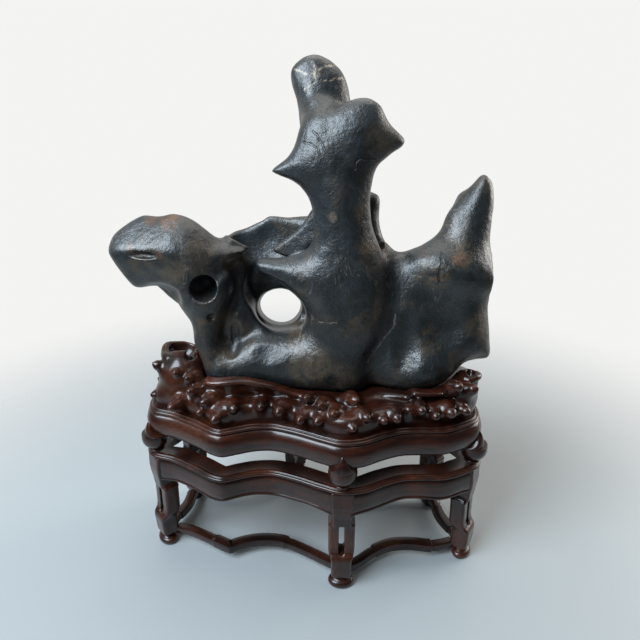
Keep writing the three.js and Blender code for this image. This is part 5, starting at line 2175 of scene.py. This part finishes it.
    def stretcher(self, corner: Corner) -> Piece:
        """The low stretcher after a corner: a curved middle lapped onto two straight ends.

        Args:
            corner: The corner.

        Returns:
            The stretcher.
        """
        start, end = self.plan.side_range(corner)
        first = start + self.plan.leg_side(corner, 1, 12, self.leg_inset)
        last = end - self.plan.leg_side(corner.next, -1, 12, self.leg_inset)
        laps = self.LAPS.get(corner, self.OTHER_LAPS)
        u = np.linspace(first, last, 240)
        share = (u - start) / (end - start)
        inset = 8 + 14 * np.sin(np.pi * share) ** 2 + self.stretcher_width / 2
        line = self.smoothed(self.plan.beside(u, -inset), 15)
        along = np.gradient(line, axis=0)
        along /= np.linalg.norm(along, axis=1, keepdims=True)
        out = np.stack([along[:, 1], -along[:, 0]], 1)
        rings = []
        blend, r = 0.006, 1.6
        for place, way, t in zip(line[::2], out[::2], share[::2]):
            middle = smooth_step((t - laps[0]) / blend) * smooth_step((laps[1] - t) / blend)
            outer = self.stretcher_width / 2 - 1.4 * (1 - middle)
            inner = 1.4 * (1 - middle) - self.stretcher_width / 2
            low = self.stretcher_z
            high = low + self.stretcher_height - 2.0 * (1 - middle)
            section = [
                (outer - r, low), (outer - 0.4, low + 0.4), (outer, low + r), (outer, high - r),
                (outer - 0.45, high - 0.45), (outer - r, high), (inner + r, high),
                (inner + 0.45, high - 0.45), (inner, high - r), (inner, low + r), (inner + r, low),
            ]
            rings.append(np.array([(*(place + way * s[0]), s[1]) for s in section]))
        points, faces = loft(rings)
        return self.piece(f"rail_{corner.side}", (points, faces), f"stretcher_{corner.side}", 35)

    def bun_foot(self) -> tuple[Array, list]:
        """A pad foot, wider than it is deep.

        Returns:
            The points and the faces.
        """
        wide, top = self.foot_width / 2, self.foot_height
        profile = [(0.4, 0.0), *round_profile([
            (wide - 5, 0.0), (wide - 1.6, 1.4), (wide, 4.6), (wide - 0.4, 8.2), (wide - 2.8, 11),
            (wide - 6.5, 12.6), (wide - 8.6, top),
        ], 4), (0.4, top)]
        return turned(profile, 56, self.foot_depth / self.foot_width)

    def build(self) -> list[Piece]:
        """Makes the whole lower stand.

        Returns:
            The pieces.
        """
        made = [self.frame()]
        leg, quads = self.leg_mesh()
        foot, faces = self.bun_foot()
        for corner in Corner:
            placed = self.plan.to_corner(corner, self.leg_inset, leg)
            name, node = f"post_{corner.label}", f"leg_{corner.label}"
            made.append(self.piece(name, (placed, quads), node, upright=True))
            placed = self.plan.to_corner(corner, self.leg_inset, foot)
            name, node = f"pad_{corner.label}", f"bun_foot_{corner.label}"
            made.append(self.piece(name, (placed, faces), node, 50))
            made.append(self.apron(corner))
            made.append(self.stretcher(corner))
        return made


# The studio


@dataclass(frozen=True)
class SoftLight:
    """A square soft light that looks at a point."""

    name: str
    place: Triple
    aim: Triple
    size: float
    power: float
    colour: Triple = (1.0, 1.0, 1.0)
    height: float | None = None

    def build(self) -> bpy.types.Object:
        """Hangs the light.

        Returns:
            The light.
        """
        data = bpy.data.lights.new(self.name, "AREA")
        data.shape = "RECTANGLE"
        data.size = self.size
        data.size_y = self.height or self.size
        data.energy = self.power
        data.color = self.colour
        light = bpy.data.objects.new(self.name, data)
        light.location = self.place
        way = Vector(self.aim) - Vector(self.place)
        light.rotation_euler = way.to_track_quat("-Z", "Y").to_euler()
        bpy.context.scene.collection.objects.link(light)
        return light


@dataclass
class Studio:
    """The plain pale floor, the soft light and the camera of the photograph."""

    floor_half: float = 9.0
    camera_place: Triple = (0.0638, -0.7214, 0.700)
    pitch: float = 21.2
    turn: float = 3.3
    lens: float = 27.56
    world: Triple = (0.90, 0.905, 0.89)
    room_front: float = 0.07
    room_back: float = 0.75
    cool: Triple = (0.78, 0.90, 1.0)
    warm: Triple = (1.0, 0.96, 0.9)

    def floor(self) -> None:
        """Lays the floor."""
        h = self.floor_half
        mesh = bpy.data.meshes.new("floor")
        mesh.from_pydata([(-h, -h, 0), (h, -h, 0), (h, h, 0), (-h, h, 0)], [], [(0, 1, 2, 3)])
        mesh.materials.append(PaleFloor().material())
        floor = bpy.data.objects.new("floor", mesh)
        bpy.context.scene.collection.objects.link(floor)

    def camera(self) -> None:
        """Sets up the photograph's camera."""
        data = bpy.data.cameras.new("camera")
        data.sensor_width = 36.0
        data.lens = self.lens
        camera = bpy.data.objects.new("camera", data)
        camera.location = self.camera_place
        camera.rotation_euler = (math.radians(90 - self.pitch), 0, math.radians(self.turn))
        bpy.context.scene.collection.objects.link(camera)
        bpy.context.scene.camera = camera

    def lights(self) -> None:
        """Hangs the lights and sets the sky."""
        SoftLight("window", (-1.35, -1.15, 2.0), (0, 0, 0.45), 1.5, 122, self.cool, 1.8).build()
        SoftLight("ceiling", (0.2, 0.5, 2.6), (0, 0, 0.3), 2.0, 24, self.warm).build()
        SoftLight("fill", (2.1, 0.9, 1.2), (0, 0, 0.5), 1.2, 30, self.warm, 1.6).build()
        self.sky()

    def sky(self) -> None:
        """The pale room: bright behind the object, and dim behind the camera."""
        world = bpy.data.worlds.new("room")
        world.use_nodes = True
        tree = world.node_tree
        sky = tree.nodes["Background"]
        way = tree.nodes.new("ShaderNodeTexCoord")
        split = tree.nodes.new("ShaderNodeSeparateXYZ")
        tree.links.new(way.outputs["Generated"], split.inputs[0])
        lit = tree.nodes.new("ShaderNodeMapRange")
        lit.interpolation_type = "SMOOTHSTEP"
        for key, value in {1: -0.35, 2: 0.75, 3: self.room_front, 4: self.room_back}.items():
            lit.inputs[key].default_value = value
        tree.links.new(split.outputs["Y"], lit.inputs["Value"])
        seen = tree.nodes.new("ShaderNodeLightPath")  # the camera sees the room at full strength
        pick = tree.nodes.new("ShaderNodeMix")
        tree.links.new(seen.outputs["Is Camera Ray"], pick.inputs[0])
        tree.links.new(lit.outputs["Result"], pick.inputs[2])
        pick.inputs[3].default_value = 1.0
        tree.links.new(pick.outputs[0], sky.inputs["Strength"])
        sky.inputs["Color"].default_value = (*self.world, 1.0)
        bpy.context.scene.world = world

    def build(self) -> None:
        """Sets up the whole studio."""
        self.camera()
        self.floor()
        self.lights()
        bpy.context.scene.view_settings.view_transform = "Standard"


def main() -> None:
    """Builds the object piece by piece, then the studio."""
    logging.basicConfig(level=logging.INFO, format="%(name)s: %(message)s")
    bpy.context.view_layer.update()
    Studio().build()
    plan = Plan()
    stone = ScholarStone()
    stone.build()
    top = CarvedTop(plan, stone)
    made = top.build()
    KnobFeet(plan, made[0].data.materials[0]).build()
    level = PolishedWood("level_rosewood", grain=(1.5, 1.5, 9.0))
    upright = PolishedWood("upright_rosewood", grain=(5.0, 5.0, 1.2))
    LowerStand(plan, level.material(), upright.material()).build()


if __name__ == "__main__":
    main()
